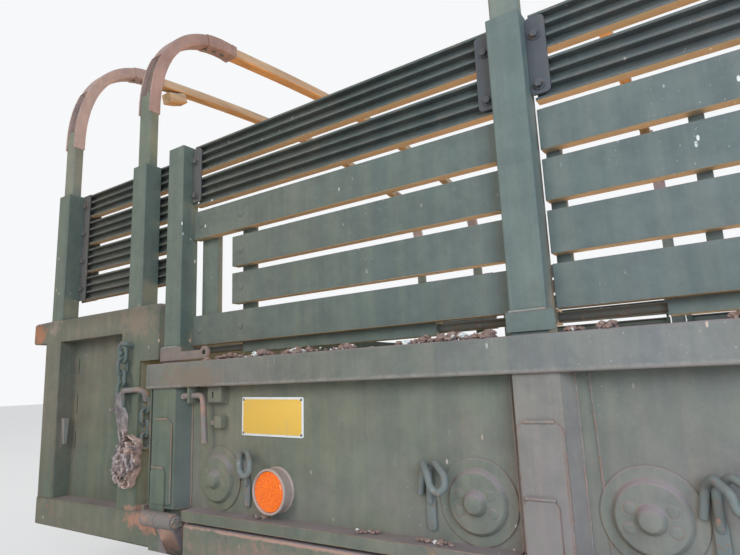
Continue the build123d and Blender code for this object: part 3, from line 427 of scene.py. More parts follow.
coat("dropping", "dropping", (0.76, 0.75, 0.71), (0.42, 0.42, 0.4), 0.8)
# Painted shade: a near-black coat for fills that stand in for the shade in slots, holes and slits.
coat("painted_shade_fill", "painted_shade_gap", (0.02, 0.022, 0.02), (0.05, 0.04, 0.035), 0.9)
webbing("cloth", "strap_cloth", (0.085, 0.07, 0.064), (0.4, 0.28, 0.245))
webbing("cloth_neck", "strap_neck", (0.31, 0.24, 0.215), (0.6, 0.48, 0.44))
webbing("cloth_edge", "strap_edge", (0.36, 0.25, 0.22), (0.82, 0.68, 0.63))


def soften(bm, edges, radius, segments=2, clamp=False):
    """Rounds edges off."""
    ops.bevel(bm, geom=edges, offset=radius, segments=segments, profile=0.5, affect="EDGES",
                    clamp_overlap=clamp)


def skin(bm, rings, ends=True):
    """Faces between rings of vertices, of which one may be a tip, and over the two ends."""
    count = max(len(ring) for ring in rings)
    for low, high in zip(rings, rings[1:]):
        for i in range(count):
            j = (i + 1) % count
            corners = (low[i % len(low)], low[j % len(low)], high[j % len(high)], high[i % len(high)])
            bm.faces.new(list(dict.fromkeys(corners)))
    if ends:
        bm.faces.new(list(reversed(rings[0])))
        bm.faces.new(rings[-1])


def mm(rows):
    """Rows of (radius, height) from millimetres."""
    return [(r / 1000, h / 1000) for r, h in rows]


HEX_HEAD = ((1, 0), (1, 0.85), (0.88, 1), (0, 1))
ROUND_HEAD = ((1, 0), (0.96, 0.45), (0.72, 0.82), (0.35, 0.98), (0, 1))
WASHER = 0.0019


class Shape:
    """A mesh in the part's frame that collects what shares a body."""

    def __init__(self, *mats, bm=None):
        self.bm = bmesh.new() if bm is None else bm
        self.mats = mats

    def take(self, part, mat, turn=None):
        """Adds another mesh and gives it one material."""
        index = self.mats.index(mat) if mat else 0
        for f in part.faces:
            f.material_index = index
        if turn is not None:
            ops.transform(part, matrix=turn, verts=part.verts[:])
        ops.recalc_face_normals(part, faces=part.faces[:])
        mesh = bpy.data.meshes.new("part")
        part.to_mesh(mesh)
        part.free()
        self.bm.from_mesh(mesh)
        bpy.data.meshes.remove(mesh)

    def box(self, low, high, mat=None, bevel=0):
        """A block between two corners with softened edges."""
        part = bmesh.new()
        size = [h - l for l, h in zip(low, high)]
        middle = [(h + l) / 2 for l, h in zip(low, high)]
        ops.create_cube(part, size=1, matrix=Matrix.LocRotScale(middle, None, size))
        if bevel:
            soften(part, part.edges[:], bevel)
        self.take(part, mat)

    def extrude(self, outline, move, mat, bevel, segments):
        """An outline carried straight along a move."""
        part = bmesh.new()
        face = part.faces.new([part.verts.new(p) for p in outline])
        grown = ops.extrude_face_region(part, geom=[face])
        moved = [v for v in grown["geom"] if isinstance(v, bmesh.types.BMVert)]
        ops.translate(part, vec=move, verts=moved)
        if bevel:
            soften(part, part.edges[:], bevel, segments)
        self.take(part, mat)

    def plate(self, outline, plane_y, depth, mat=None, bevel=0):
        """An outline in X and Z, extruded along Y."""
        self.extrude([(x, plane_y, z) for x, z in outline], (0, depth, 0), mat, bevel, 2)

    def bar(self, outline, x0, x1, mat=None, bevel=0):
        """An outline in Y and Z, extruded along X."""
        self.extrude([(x0, y, z) for y, z in outline], (x1 - x0, 0, 0), mat, bevel, 1)

    def lathe(self, at, rows, mat=None, axis=(0, 1, 0), sides=48):
        """Rings of (radius, height) around an axis; a radius of 0 closes an end."""
        part = bmesh.new()
        rings = []
        for radius, height in rows:
            angles = [2 * pi * i / sides for i in range(sides)] if radius else [0]
            rings.append([part.verts.new((radius * cos(t), radius * sin(t), height)) for t in angles])
        skin(part, rings, False)
        if len(rings[0]) > 1 and rows[0] != rows[-1]:
            part.faces.new(list(reversed(rings[0])))
        turn = Vector(axis).to_track_quat("Z", "Y").to_matrix().to_4x4()
        self.take(part, mat, Matrix.Translation(at) @ turn)

    def bolt(self, at, radius, height, mat=None, axis=(0, 1, 0), washer=0):
        """A hexagon bolt head, with a washer under it if asked."""
        if washer:
            rows = [(washer, 0), (washer, 0.0016), (washer * 0.96, 0.002), (0, 0.002)]
            self.lathe(at, rows, mat, axis, 24)
        lift = WASHER if washer else 0
        self.lathe(at, [(radius * r, lift + height * h) for r, h in HEX_HEAD], mat, axis, 6)

    def rivet(self, at, radius, height, mat=None, axis=(0, 1, 0)):
        """A domed head."""
        self.lathe(at, [(radius * r, height * h) for r, h in ROUND_HEAD], mat, axis, 18)

    def sweep(self, x, route, profile, mat=None, grow=0, sides=(1, -1)):
        """A profile of (along X, across) carried along a route in Y and Z; grow deepens its end."""
        route = [Vector((0, y, z)) for y, z in route]
        last = len(route) - 1
        for side in sides:
            part = bmesh.new()
            rings = []
            for i, p in enumerate(route):
                ahead = (route[min(i + 1, last)] - route[max(i - 1, 0)]).normalized()
                out = Vector((0, ahead.z, -ahead.y))
                size = 1 + grow * (i / last) ** 2
                places = [(a, p + out * b * size) for a, b in profile]
                rings.append([part.verts.new((x + a, side * q.y, q.z)) for a, q in places])
            skin(part, rings)
            self.take(part, mat)

    def rod(self, points, radius, mat=None, sides=14):
        """A round bar along points, of one radius or a list of them."""
        points = [Vector(p) for p in points]
        sizes = radius if isinstance(radius, list) else [radius] * len(points)
        part = bmesh.new()
        rings = []
        normal = None
        for i, p in enumerate(points):
            ahead = (points[min(i + 1, len(points) - 1)] - points[max(i - 1, 0)]).normalized()
            if normal is None:
                normal = ahead.orthogonal().normalized()
            normal = (normal - ahead * normal.dot(ahead)).normalized()
            across = ahead.cross(normal)
            angles = [2 * pi * k / sides for k in range(sides)]
            rings.append([part.verts.new(p + sizes[i] * (cos(t) * normal + sin(t) * across)) for t in angles])
        skin(part, rings)
        self.take(part, mat)

    def bead(self, start, end, radius, mat=None):
        """A weld bead: a low rippled rod."""
        start, end = Vector(start), Vector(end)
        count = max(4, int((end - start).length / 0.003))
        steps = range(count + 1)
        wobble = [noise.noise_vector(start * 3 + Vector((i * 0.7, 0, 0))) * 0.0007 for i in steps]
        points = [start.lerp(end, i / count) + wobble[i] for i in steps]
        sizes = [radius * (0.72 + 0.28 * abs(sin(i * 1.3)) + 0.2 * random.random()) for i in steps]
        self.rod(points, sizes, mat, 6)

    def piece(self, name, body, side=1, replaces=(), angle=35, weighted=False):
        """Makes the object, on the left or mirrored onto the right, and lets it ride on its body."""
        if side < 0:
            ops.scale(self.bm, vec=(1, -1, 1), verts=self.bm.verts[:])
            ops.reverse_faces(self.bm, faces=self.bm.faces[:])
        mesh = bpy.data.meshes.new(name)
        self.bm.to_mesh(mesh)
        self.bm.free()
        mesh.shade_smooth()
        mesh.set_sharp_from_angle(angle=radians(angle))
        for mat in self.mats:
            mesh.materials.append(MATS[mat])
        made = new_object(name, mesh)
        if weighted:
            made.modifiers.new("flat faces", "WEIGHTED_NORMAL").keep_sharp = True
        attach(made, body)
        if replaces:
            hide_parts(*replaces)
        return made

    def on_side(self, name, word, node="", slot="bare_steel", angle=35, body="gate_{}_body"):
        """One side's piece, which rides on its gate or another body and may stand for a node."""
        replaces = (f"{node}_{word}",) if node else ()
        self.piece(f"{name}_{word}", body.format(word), SIDES[word], replaces, angle)


def rounded(points, radius, steps=6):
    """The points of a bar bent round each corner of its route."""
    points = [Vector(p) for p in points]
    route = [points[0]]
    for before, corner, after in zip(points, points[1:], points[2:]):
        back, ahead = before - corner, after - corner
        reach = min(radius / tan(back.angle(ahead) / 2), back.length * 0.49, ahead.length * 0.49)
        first = corner + back.normalized() * reach
        last = corner + ahead.normalized() * reach
        for i in range(steps + 1):
            t = i / steps
            route.append((1 - t) ** 2 * first + 2 * t * (1 - t) * corner + t ** 2 * last)
    route.append(points[-1])
    return route


def dress(node, mat, soft=0.0012, wide=(), marks=(), trim=None):
    """A CAD node with softened edges; wide has (test, radius), marks (material, test), trim moves X."""
    bm = bmesh.new()
    bm.from_mesh(frame["nodes"][node].data)
    ops.remove_doubles(bm, verts=bm.verts[:], dist=2e-5)
    ops.dissolve_limit(bm, angle_limit=radians(1), verts=bm.verts[:], edges=bm.edges[:])
    if trim:
        for v in bm.verts:
            v.co.x += trim(v.co.x, abs(v.co.y), v.co.z)

    def sharp(e):
        return len(e.link_faces) == 2 and e.calc_face_angle(0) > radians(32)

    for test, radius in wide:
        found = [e for e in bm.edges if sharp(e) and e.is_convex and test(*[v.co for v in e.verts])]
        soften(bm, found, radius, 4)
    soften(bm, [e for e in bm.edges if sharp(e) and e.calc_length() > 0.004], soft, 2, True)
    for f in bm.faces:
        at = f.calc_center_median()
        f.material_index = 0
        for i, (m, test) in enumerate(marks):
            if test(at.x, abs(at.y), at.z):
                f.material_index = i + 1
    shape = Shape(mat, *[m for m, test in marks], bm=bm)
    shape.piece(node + "_shell", frame["nodes"][node]["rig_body"], replaces=(node,), angle=50, weighted=True)


def runs(axis, least=0, **planes):
    """Tests that an edge runs along an axis and lies on planes such as z=(0.55,), mirrored in Y."""
    index = "xyz".index(axis)

    def test(a, b):
        d = b - a
        if abs(abs(d[index]) - d.length) >= 1e-5 or d.length < least:
            return False
        for name, values in planes.items():
            for p in (a, b):
                here = abs(p.y) if name == "y" else getattr(p, name)
                if min(abs(here - value) for value in values) > 3e-4:
                    return False
        return True
    return test


# Gates, with bent rail edges, and their welds
HAT_TOP = RAIL_LOW - 0.003
GATE_MARKS = (
    ("rail", lambda x, y, z: y > FACE_Y + 0.004 and z > HAT_TOP),
    ("hat", lambda x, y, z: y > 1.187 and SILL_TOP < z <= HAT_TOP),
    ("post", lambda x, y, z: y > 1.2035 and SILL_TOP < z <= HAT_TOP and x > 1.3),
    # Painted shade: the front end hat's side faces take the darker shade paint.
    ("shade", lambda x, y, z: 1.183 < y <= 1.2035 and SILL_TOP < z <= HAT_TOP and x > 1.3),
    ("sill", lambda x, y, z: z < 0.232),
)
for word in SIDES:
    rail_edges = runs("x", 0.5, y=(RAIL_Y,), z=(GATE_TOP, RAIL_LOW))
    dress("gate_" + word, "gate", 0.0014, [(rail_edges, 0.0055)], GATE_MARKS)
dress("tailgate", "gate", 0.0014)
for word in SIDES:
    welds = Shape("hat")
    for i, x in enumerate(POSTS):
        for z, reach, y, shift in ((0.4208, 0.023, 1.2147, 0), (0.3128, 0.022, 1.2182, 0.0065)):
            welds.bead((x + shift - reach, y, z), (x + shift + reach, y, z), 0.003)
        for seam in (x - 0.033, x + 0.033):
            welds.bead((seam, HAT_Y + 0.0022, 0.236), (seam, HAT_Y + 0.0022, 0.411), 0.0026)
        for sx in (-1, 1):
            foot = 0.056 if (i, sx) in ((0, 1), (4, -1)) else 0.068 if i in (0, 4) else 0.05
            seam = x + sx * foot
            welds.bead((seam, FACE_Y + 0.001, LEDGE_Z), (seam, FACE_Y + 0.001, RAIL_LOW), 0.0022)
    for x in POSTS[1:-1]:
        welds.bead((x - 0.076, FACE_Y, LEDGE_Z), (x - 0.07, FACE_Y, RAIL_LOW), 0.002)
    welds.on_side("gate_welds", word, slot="green_paint")

# Posts, rails, sills, stakes, walls
SLIMMER = 0.018


def off_boards(a, b):
    """Whether an edge is a corner of the angle plates that stand off the boards."""
    return runs("y")(a, b) and min(abs(a.y), abs(b.y)) > PLANK_Y + 0.0001


def outer_corner(a, b):
    """Whether an edge is one of a stake's four long outer corners."""
    return runs("z", 0.5)(a, b) and any(abs(abs(a.y) - middle) > 0.0245 for middle in (1.169, 1.1567))


def fixed_rail_end(a, b):
    """Whether an edge runs across the fixed section's rail at its top or its front end."""
    top, front = runs("y", 0.02, z=(FIXED_TOP,)), runs("y", 0.02, x=(FIXED_FRONT,), z=(FIXED_RAIL_LOW,))
    return top(a, b) or front(a, b)


def plate_trim(x, y, z):
    """How far an angle plate's outer edge moves in X, to make the plate slim."""
    if y < PLANK_Y - 1e-4:
        return 0
    away = min([stake - x for stake in STAKES], key=abs)
    return away / abs(away) * SLIMMER if 0.062 < abs(away) < 0.09 else 0


def corner_trim(x, y, z):
    """The same for the corner rack's angle plate."""
    return SLIMMER if y > RACK_OUT - 1e-4 and 0.065 < POST_A - x < 0.095 else 0


for word in SIDES:
    dress("fixed_side_" + word, "fixed", 0.0014, [
        (runs("x", 0.3, z=(FIXED_TOP,)), 0.01),
        (runs("x", 0.1, y=(FIXED_Y,), z=(FIXED_RAIL_LOW,)), 0.005),
        (fixed_rail_end, 0.011),
        (runs("z", 0.2, y=(FIXED_Y,)), 0.006),
    ])
    dress("side_sill_" + word, "sill", 0.0014, [(runs("x", 0.3, y=(RAIL_Y, FIXED_Y)), 0.005)])
    dress("stakes_" + word, "stake", 0.001, [(outer_corner, 0.0032)],
          [("collar", lambda x, y, z: z < COLLAR_TOP and 1.35 < x < 1.6)])
    dress("backrests_" + word, "ribbed", 0.001, [(off_boards, 0.009)],
          [("angle", lambda x, y, z: y > PLANK_Y + 0.0002)], plate_trim)
    dress("corner_rack_" + word, "ribbed", 0.001, (),
          [("angle", lambda x, y, z: y > RACK_OUT + 0.0002)], corner_trim)
for row in (("rear_posts", "post", 0.002), ("rear_sill", "sill", 0.0014), ("front_wall", "post", 0.0012),
            ("main_sills", "under", 0.0015), ("cross_sills", "under", 0.0012),
            ("mount_brackets", "under", 0.0015), ("floor", "deck", 0.003), ("seat_rods", "bolt", 0.001)):
    dress(*row)


def board_outline(z):
    """The section of a seat board in Y and Z: a smooth face outside, three ribs inside."""
    smooth, web, tip, rib = PLANK_Y, PLANK_Y - 0.007, PLANK_Y - 0.022, 0.005
    outline = [(smooth, z + PLANK_H), (smooth, z)]
    for i in range(3):
        low = z + i * (PLANK_H - rib) / 2
        corners = [(web, low), (tip, low), (tip, low + rib), (web, low + rib)]
        outline += corners[(i == 0):4 - (i == 2)]
    return outline


# Folding seats: ribbed boards, battens, legs, and a square sleeve on the hinge rod
AXIS_Y, AXIS_Z, EYE, HOLE = STAKE_IN - 0.022, SEAT_Z - 0.01, 0.013, 0.00805
BACK = PLANK_Y - 0.0223
LOW, HIGH = SEAT_Z + 0.03, SEAT_Z + 3 * PITCH + PLANK_H
SLEEVE = (
    (AXIS_Y - EYE, AXIS_Y - HOLE, AXIS_Z - EYE, AXIS_Z + EYE),
    (AXIS_Y + HOLE, BACK, AXIS_Z - EYE, AXIS_Z + EYE),
    (AXIS_Y - HOLE, AXIS_Y + HOLE, AXIS_Z - EYE, AXIS_Z - HOLE),
    (AXIS_Y - HOLE, AXIS_Y + HOLE, AXIS_Z + HOLE, AXIS_Z + EYE),
)
for i in range(1, 5):
    rear, front = STAKES[i] + 0.036, STAKES[i - 1] - 0.036
    first = i == 1
    for word in SIDES:
        seat = Shape("plank", "stake")
        for row in range(4):
            inset = 0.14 if first and row in (1, 2) else 0
            z = SEAT_Z + row * PITCH
            seat.bar(board_outline(z), rear, front - inset, "plank", 0.0009)
            heads = [front - 0.168, front - 0.028][:2 - bool(inset)] if first else []
            for bx in heads:
                seat.rivet((bx, PLANK_Y, z + PLANK_H / 2), 0.0085, 0.0028)
        x0, x1 = (front - 0.199, front - 0.153) if first else (front - 0.234, front - 0.213)
        seat.box((x0, BACK - 0.006, AXIS_Z + EYE - 0.0004), (x1, BACK, HIGH - 0.008), "stake", 0.0012)
        front_leg = (front - 0.064, front - 0.008) if first else (front - 0.026, front - 0.002)
        for x0, x1 in (front_leg, (rear + 0.002, rear + 0.013)):
            seat.box((x0, BACK - 0.004, LOW), (x1, BACK, HIGH - 0.03), "stake", 0.001)
            for wx in (x0, x1 - 0.004):
                seat.box((wx, BACK - 0.016, LOW), (wx + 0.004, BACK - 0.002, HIGH - 0.03), "stake", 0.0008)
        for y0, y1, z0, z1 in SLEEVE:
            seat.box((rear + 0.153, y0, z0), (front - 0.153, y1, z1), "stake")
        seat.piece(f"seat_boards_{word}_{i}", f"seat_{word}_{i}_body", SIDES[word], (f"seat_{word}_{i}",),
                   40)

# Bows: steel legs, shoulder castings open on their outer side, and timber beams in their ends
BOW_FOOT, BEND_Z, SHOULDER_Y = 0.983, 1.27, 0.86
BOWS = [(POST_A, FIXED_Y - 0.0303, 1.71), (POST_B, FIXED_Y - 0.0303, 1.68)]
BOWS += [(x, STAKE_OUT - 0.025, 1.695) for x in STAKES[1:]]
CHANNEL = [(0.0265, -0.016), (0.0265, 0.0175), (0.0212, 0.0175), (0.0212, 0.005)]
CHANNEL += [(-a, b) for a, b in reversed(CHANNEL)]
LINING = [(0.0211, 0.0046), (0.0211, 0.0062), (-0.0211, 0.0062), (-0.0211, 0.0046)]


def beam_z(y, crown):
    """Height of the beam's middle line, a flat arch."""
    return crown - 0.074 * (abs(y) / SHOULDER_Y) ** 1.5


def bend_z(y, leg_y, crown):
    """Height of the shoulder casting's middle line, a full round corner."""
    share = max(0, (y - SHOULDER_Y) / (leg_y - SHOULDER_Y))
    return BEND_Z + (beam_z(SHOULDER_Y, crown) - BEND_Z) * (1 - share ** 2.3) ** (1 / 2.3)


def tube(half_x, half_b, cut=0.003):
    """A rectangle with cut corners, as (along X, across)."""
    half = [(half_x - cut, -half_b), (half_x, -half_b + cut), (half_x, half_b - cut), (half_x - cut, half_b)]
    return half + [(-a, -b) for a, b in half]


bows = Shape("bow", "casting", "socket", "bolt")
timbers = Shape("beam")
for x, leg_y, crown in BOWS:
    shoulder_z = beam_z(SHOULDER_Y, crown)
    bows.sweep(x, [(leg_y, BOW_FOOT), (leg_y, 1.1), (leg_y, BEND_Z + 0.05)], tube(0.025, 0.0145), "bow")
    places = [leg_y - (leg_y - SHOULDER_Y) * (1 - cos(radians(90 * k / 24)) ** 0.87) for k in range(25)]
    bend = [(y, bend_z(y, leg_y, crown)) for y in places]
    open_part = [(leg_y, BEND_Z - 0.006)] + bend[:9]
    bows.sweep(x, open_part, CHANNEL, "casting")
    bows.sweep(x, open_part, LINING, "socket")
    bows.sweep(x, bend[8:], tube(0.0265, 0.0168, 0.004), "casting", 0.1)
    sleeve = [(y, bend_z(y, leg_y, crown)) for y in (0.972, 0.945, 0.915, 0.885, SHOULDER_Y)]
    bows.sweep(x, sleeve, tube(0.0278, 0.0196, 0.004), "casting")
    lip = [(SHOULDER_Y + 0.01, shoulder_z), (SHOULDER_Y - 0.006, shoulder_z)]
    bows.sweep(x, lip, tube(0.0288, 0.0206, 0.004), "casting")
    for side in (1, -1):
        for y in (0.962, 0.928, 0.894):
            z = bend_z(y, leg_y, crown)
            bows.bolt((x, side * y, z - 0.0194), 0.0065, 0.004, "bolt", (0, 0, -1))
            bows.rivet((x, side * y, z + 0.0194), 0.0075, 0.003, "casting", (0, 0, 1))
        for dz in (0.022, 0.058):
            bows.rivet((x, side * (leg_y + 0.006), BEND_Z + dz), 0.006, 0.003, "bolt", (0, side, 0))
    steps = [0.872 * (k / 20 * 2 - 1) for k in range(21)]
    timbers.sweep(x, [(y, beam_z(y, crown)) for y in steps], tube(0.0205, 0.0165), sides=(1,))
timbers.sweep(POST_A, [(0.822, 1.59), (0.785, 1.6), (0.75, 1.614)], tube(0.024, 0.019, 0.004), sides=(1,))
bows.piece("bow_steel", "root", 1, ("bow_frames",), 40)
timbers.piece("bow_timbers", "root", 1, ("bow_beams",), 40)

# Tie-down dishes and rope hooks on the gates; the hooks' places in X are from their shanks
DISH_ROWS = mm([
    (67.5, 0.3), (67.5, 2.3), (66.6, 3), (54, 3.2), (51.6, 3.9), (49.6, 6.4), (47.4, 11), (45.2, 12.7),
    (42, 13.2), (24, 13.5), (20.4, 14.4), (18.6, 17), (16.8, 22), (13.4, 25.6), (8, 27.4), (0, 27.8),
])
NEAR, FAR = FACE_Y + 0.0067, FACE_Y + 0.0445
HOOK_ROUTE = (
    (0.018, NEAR, 0.3), (0.011, NEAR, 0.34), (0.001, FACE_Y + 0.024, 0.353), (-0.018, FAR, 0.338),
    (-0.021, FAR, 0.321), (-0.034, FAR, 0.309), (-0.048, FAR, 0.321), (-0.047, FAR - 0.002, 0.338),
    (-0.02, FACE_Y + 0.022, 0.355), (0, NEAR, 0.34), (0, NEAR, 0.288),
)
HOOK_PLATE = (
    (-0.0085, 0.247), (-0.0051, 0.243), (0.0051, 0.243), (0.0085, 0.247),
    (0.0085, 0.288), (0.006, 0.3), (-0.006, 0.3), (-0.0085, 0.288),
)
for word in SIDES:
    dishes = Shape("dish", "dropping")
    for x in DISHES:
        dishes.lathe((x, FACE_Y, DISH_Z), DISH_ROWS, sides=64)
        for dx, dz in ((-0.028, -0.014), (0.028, -0.014), (-0.026, 0.012), (0.026, 0.012)):
            dishes.rivet((x + dx, FACE_Y + 0.013, DISH_Z + dz), 0.0086, 0.0022)
        for k in range(choice((3, 6, 9))):
            turn = uniform(0.6, 2.6)
            reach = uniform(0.003, 0.011)
            spot = (x + reach * cos(turn), FACE_Y + 0.0268 - reach * 0.14, DISH_Z + reach * sin(turn))
            size = uniform(0.0008, 0.0022)
            dishes.lathe(spot, [(size, -0.0006), (size * 0.7, 0.0004), (0, 0.0006)], "dropping", sides=7)
    dishes.on_side("tie_down_dishes", word, "tie_downs", "green_paint", 28)

    hooks = Shape("rod")
    for k, x in enumerate(HOOKS):
        shank = x + (-0.009 if k % 2 else 0.011)
        hooks.rod(rounded([(shank + dx, y, z) for dx, y, z in HOOK_ROUTE], 0.012), 0.006, sides=16)
        hooks.plate([(shank + dx, z) for dx, z in HOOK_PLATE], FACE_Y, 0.0062, bevel=0.0012)
        hooks.rivet((shank, FACE_Y + 0.006, 0.287), 0.0052, 0.0028)
    hooks.on_side("rope_hook_rods", word, "rope_hooks")

# Gate latches; places in X are from the gate's end, inwards
LATCH_Y, LATCH_Z, KEEPER_Z = 1.202, 0.473, RAIL_LOW - 0.036
LATCH_BOXES = (
    (0.146, 0.153, FACE_Y, 1.214, KEEPER_Z, RAIL_LOW, "gate"),
    (0.195, 0.245, FACE_Y, FACE_Y + 0.004, KEEPER_Z, RAIL_LOW, "gate"),
    (0.199, 0.243, FACE_Y + 0.003, 1.2, KEEPER_Z + 0.001, RAIL_LOW, "gate"),
    (0.221, 0.243, FACE_Y, FACE_Y + 0.02, 0.402, 0.427, "gate"),
    # Painted shade: a thin near-black box stands in for the shade inside the keeper's slot.
    (0.2145, 0.2185, 1.199, 1.2006, KEEPER_Z + 0.011, KEEPER_Z + 0.024, "painted_shade_fill"),
)
LATCH_ROUTE = (
    (0.12, LATCH_Y, LATCH_Z - 0.007), (0.12, LATCH_Y, LATCH_Z), (0.186, LATCH_Y, LATCH_Z),
    (0.197, LATCH_Y + 0.002, LATCH_Z - 0.103),
)
STUD_ROWS = mm([(5.2, 0), (6.8, 2), (6.8, 7), (4.5, 11), (0, 11.5)])
for word in SIDES:
    latch = Shape("latch", "gate", "painted_shade_fill", "weld")
    for end, way in ((GATE_FRONT, -1), (GATE_REAR, 1)):
        for a, b, y0, y1, z0, z1, mat in LATCH_BOXES:
            x0, x1 = sorted((end + way * a, end + way * b))
            latch.box((x0, y0, z0), (x1, y1, z1), mat, 0.0012 if mat == "gate" else 0)
        latch.rod(rounded([(end + way * d, y, z) for d, y, z in LATCH_ROUTE], 0.016, 8), 0.0068, sides=16)
        latch.lathe((end + way * 0.214, FACE_Y + 0.008, 0.413), STUD_ROWS, sides=14)
        ends = [(end + way * d, FACE_Y + 0.005, KEEPER_Z) for d in (0.196, 0.243)]
        latch.bead(*ends, 0.0018, "weld")
    latch.on_side("gate_latches", word, "latches")

# Reflectors: a ring, and a lens with a groove round its low dome
RING_ROWS = mm([(45, 0.2), (45, 4), (43.4, 6), (43.4, 24), (44.2, 26.5), (43.2, 29), (40.6, 29.6), (39.2, 28),
                (38.8, 24), (0, 24)])
LENS_ROWS = mm([(38.6, 24.2), (38.2, 26.4), (36.8, 27.4), (34.6, 27), (33.6, 28)]
               + [(33 - 5.5 * i, 28 + 1.6 * sin(pi / 12 * i)) for i in range(6)] + [(0, 29.6)])
for word in SIDES:
    reflector = Shape("ring", "lens")
    for rows, mat in ((RING_ROWS, "ring"), (LENS_ROWS, "lens")):
        reflector.lathe((1.171, FACE_Y, 0.282), rows, mat, sides=56)
    reflector.on_side("reflector_body", word, "reflector", "amber_lens")

# Blank plate with a white rim and four rivets, hung a little askew
PLATE_X, PLATE_Z, TILT = 1.186, 0.425, radians(1)


def plate_outline(w, h, r):
    """The plate's points in X and Z: a rectangle with round corners, turned by its tilt."""
    out = []
    for sx, sz, start in ((1, 1, 0), (-1, 1, 90), (-1, -1, 180), (1, -1, 270)):
        for k in range(5):
            t = radians(start + 22.5 * k)
            x, z = sx * (w / 2 - r) + r * cos(t), sz * (h / 2 - r) + r * sin(t)
            out.append((PLATE_X + x * cos(TILT) - z * sin(TILT), PLATE_Z + x * sin(TILT) + z * cos(TILT)))
    return out


plate = Shape("white", "yellow", "bolt")
plate.plate(plate_outline(0.174, 0.08, 0.004), FACE_Y + 0.0002, 0.0018, "white", 0.0004)
plate.plate(plate_outline(0.165, 0.071, 0.009), FACE_Y + 0.0016, 0.0009, "yellow", 0.0002)
for x in (-0.0815, 0.0815):
    for z in (-0.0345, 0.0345):
        plate.rivet((PLATE_X + x - z * TILT, FACE_Y + 0.002, PLATE_Z + z + x * TILT), 0.0028, 0.0016, "bolt")
plate.piece("blank_plate", "gate_left_body", 1, ("data_plate",))

# Chains of welded links, each from a hook: place, links, the hook's bend, bar and metal, and its route
LINK_L, LINK_W, BAR = 0.048, 0.033, 0.009
LINK_PITCH = LINK_L - 2 * BAR - 0.0003
CHAINS = (
    ((POST_B + 0.006, FIXED_Y + 0.0175, 0.606), 5, 0.009, 0.0058, "chain", (
        (-0.016, -0.0185, -0.002), (-0.015, 0, 0.002), (-0.002, 0.005, 0.005), (0.011, 0.004, -0.004),
        (0.011, 0, -0.02), (0.001, -0.001, -0.022))),
    ((POST_B - 0.05, FIXED_Y - 0.016, 0.478), 4, 0.01, 0.0072, "latch", (
        (0.062, 0.0335, 0), (0.042, 0.0335, 0.012), (0.01, 0.018, 0.014), (-0.002, 0.006, 0.006),
        (0, 0, -0.014), (0.006, -0.006, -0.014))),
)


def link(shape, x, y, z, turn, tilt):
    """One link of a chain: a bar bent into a long ring."""
    half, reach = LINK_W / 2 - BAR / 2, LINK_L / 2 - LINK_W / 2
    points = []
    for k in range(24):
        t = 2 * pi * k / 24
        points.append(Vector((half * cos(t), 0, half * sin(t) + (reach if sin(t) > 0 else -reach))))
    part = bmesh.new()
    rings = []
    deep = Vector((0, 1, 0))
    for k, p in enumerate(points):
        wide = (points[(k + 1) % 24] - points[k - 1]).normalized().cross(deep).normalized()
        angles = [2 * pi * i / 10 for i in range(10)]
        rings.append([part.verts.new(p + BAR / 2 * (cos(a) * wide + sin(a) * deep)) for a in angles])
    skin(part, rings + rings[:1], False)
    place = Matrix.Translation((x, y, z)) @ Matrix.Rotation(turn, 4, "Z") @ Matrix.Rotation(tilt, 4, "Y")
    shape.take(part, "chain", place)


for word in SIDES:
    chain = Shape("chain", "latch")
    for (x, y, top), count, bend, radius, mat, route in CHAINS:
        for i in range(count):
            link(chain, x, y, top - LINK_L / 2 - i * LINK_PITCH, pi / 2 * (i % 2) + 0.12 * sin(i * 2.1 + x),
                 0.05 * sin(i * 1.7))
        chain.rod(rounded([(x + dx, y + dy, top + dz) for dx, dy, dz in route], bend), radius, mat)
    chain.on_side("link_chains", word, "chains", body="root")


# Hinges: round knuckles over the octagonal ones, and the pins' heads
def knuckle(length):
    """Rows of a hinge knuckle with softened ends."""
    r = 0.0174
    return [(0.0085, 0), (r - 0.0012, 0), (r, 0.0012), (r, length - 0.0012), (r - 0.0012, length),
            (0.0085, length)]


PIN_HEAD = mm([(12.8, 0), (13.2, 3), (11.8, 6.2), (7, 8.4), (0, 8.8)])
for word in SIDES:
    on_sill, on_gate = Shape("hinge"), Shape("hinge")
    for x in POSTS:
        on_sill.lathe((x - 0.0702, HINGE_Y, HINGE_Z), knuckle(0.0572), axis=(1, 0, 0), sides=32)
        on_sill.lathe((x - 0.07, HINGE_Y, HINGE_Z), PIN_HEAD, axis=(-1, 0, 0), sides=28)
        on_gate.lathe((x - 0.012, HINGE_Y, HINGE_Z), knuckle(0.0502), axis=(1, 0, 0), sides=32)
    on_sill.on_side("sill_knuckles", word, body="root")
    on_gate.on_side("gate_knuckles", word)

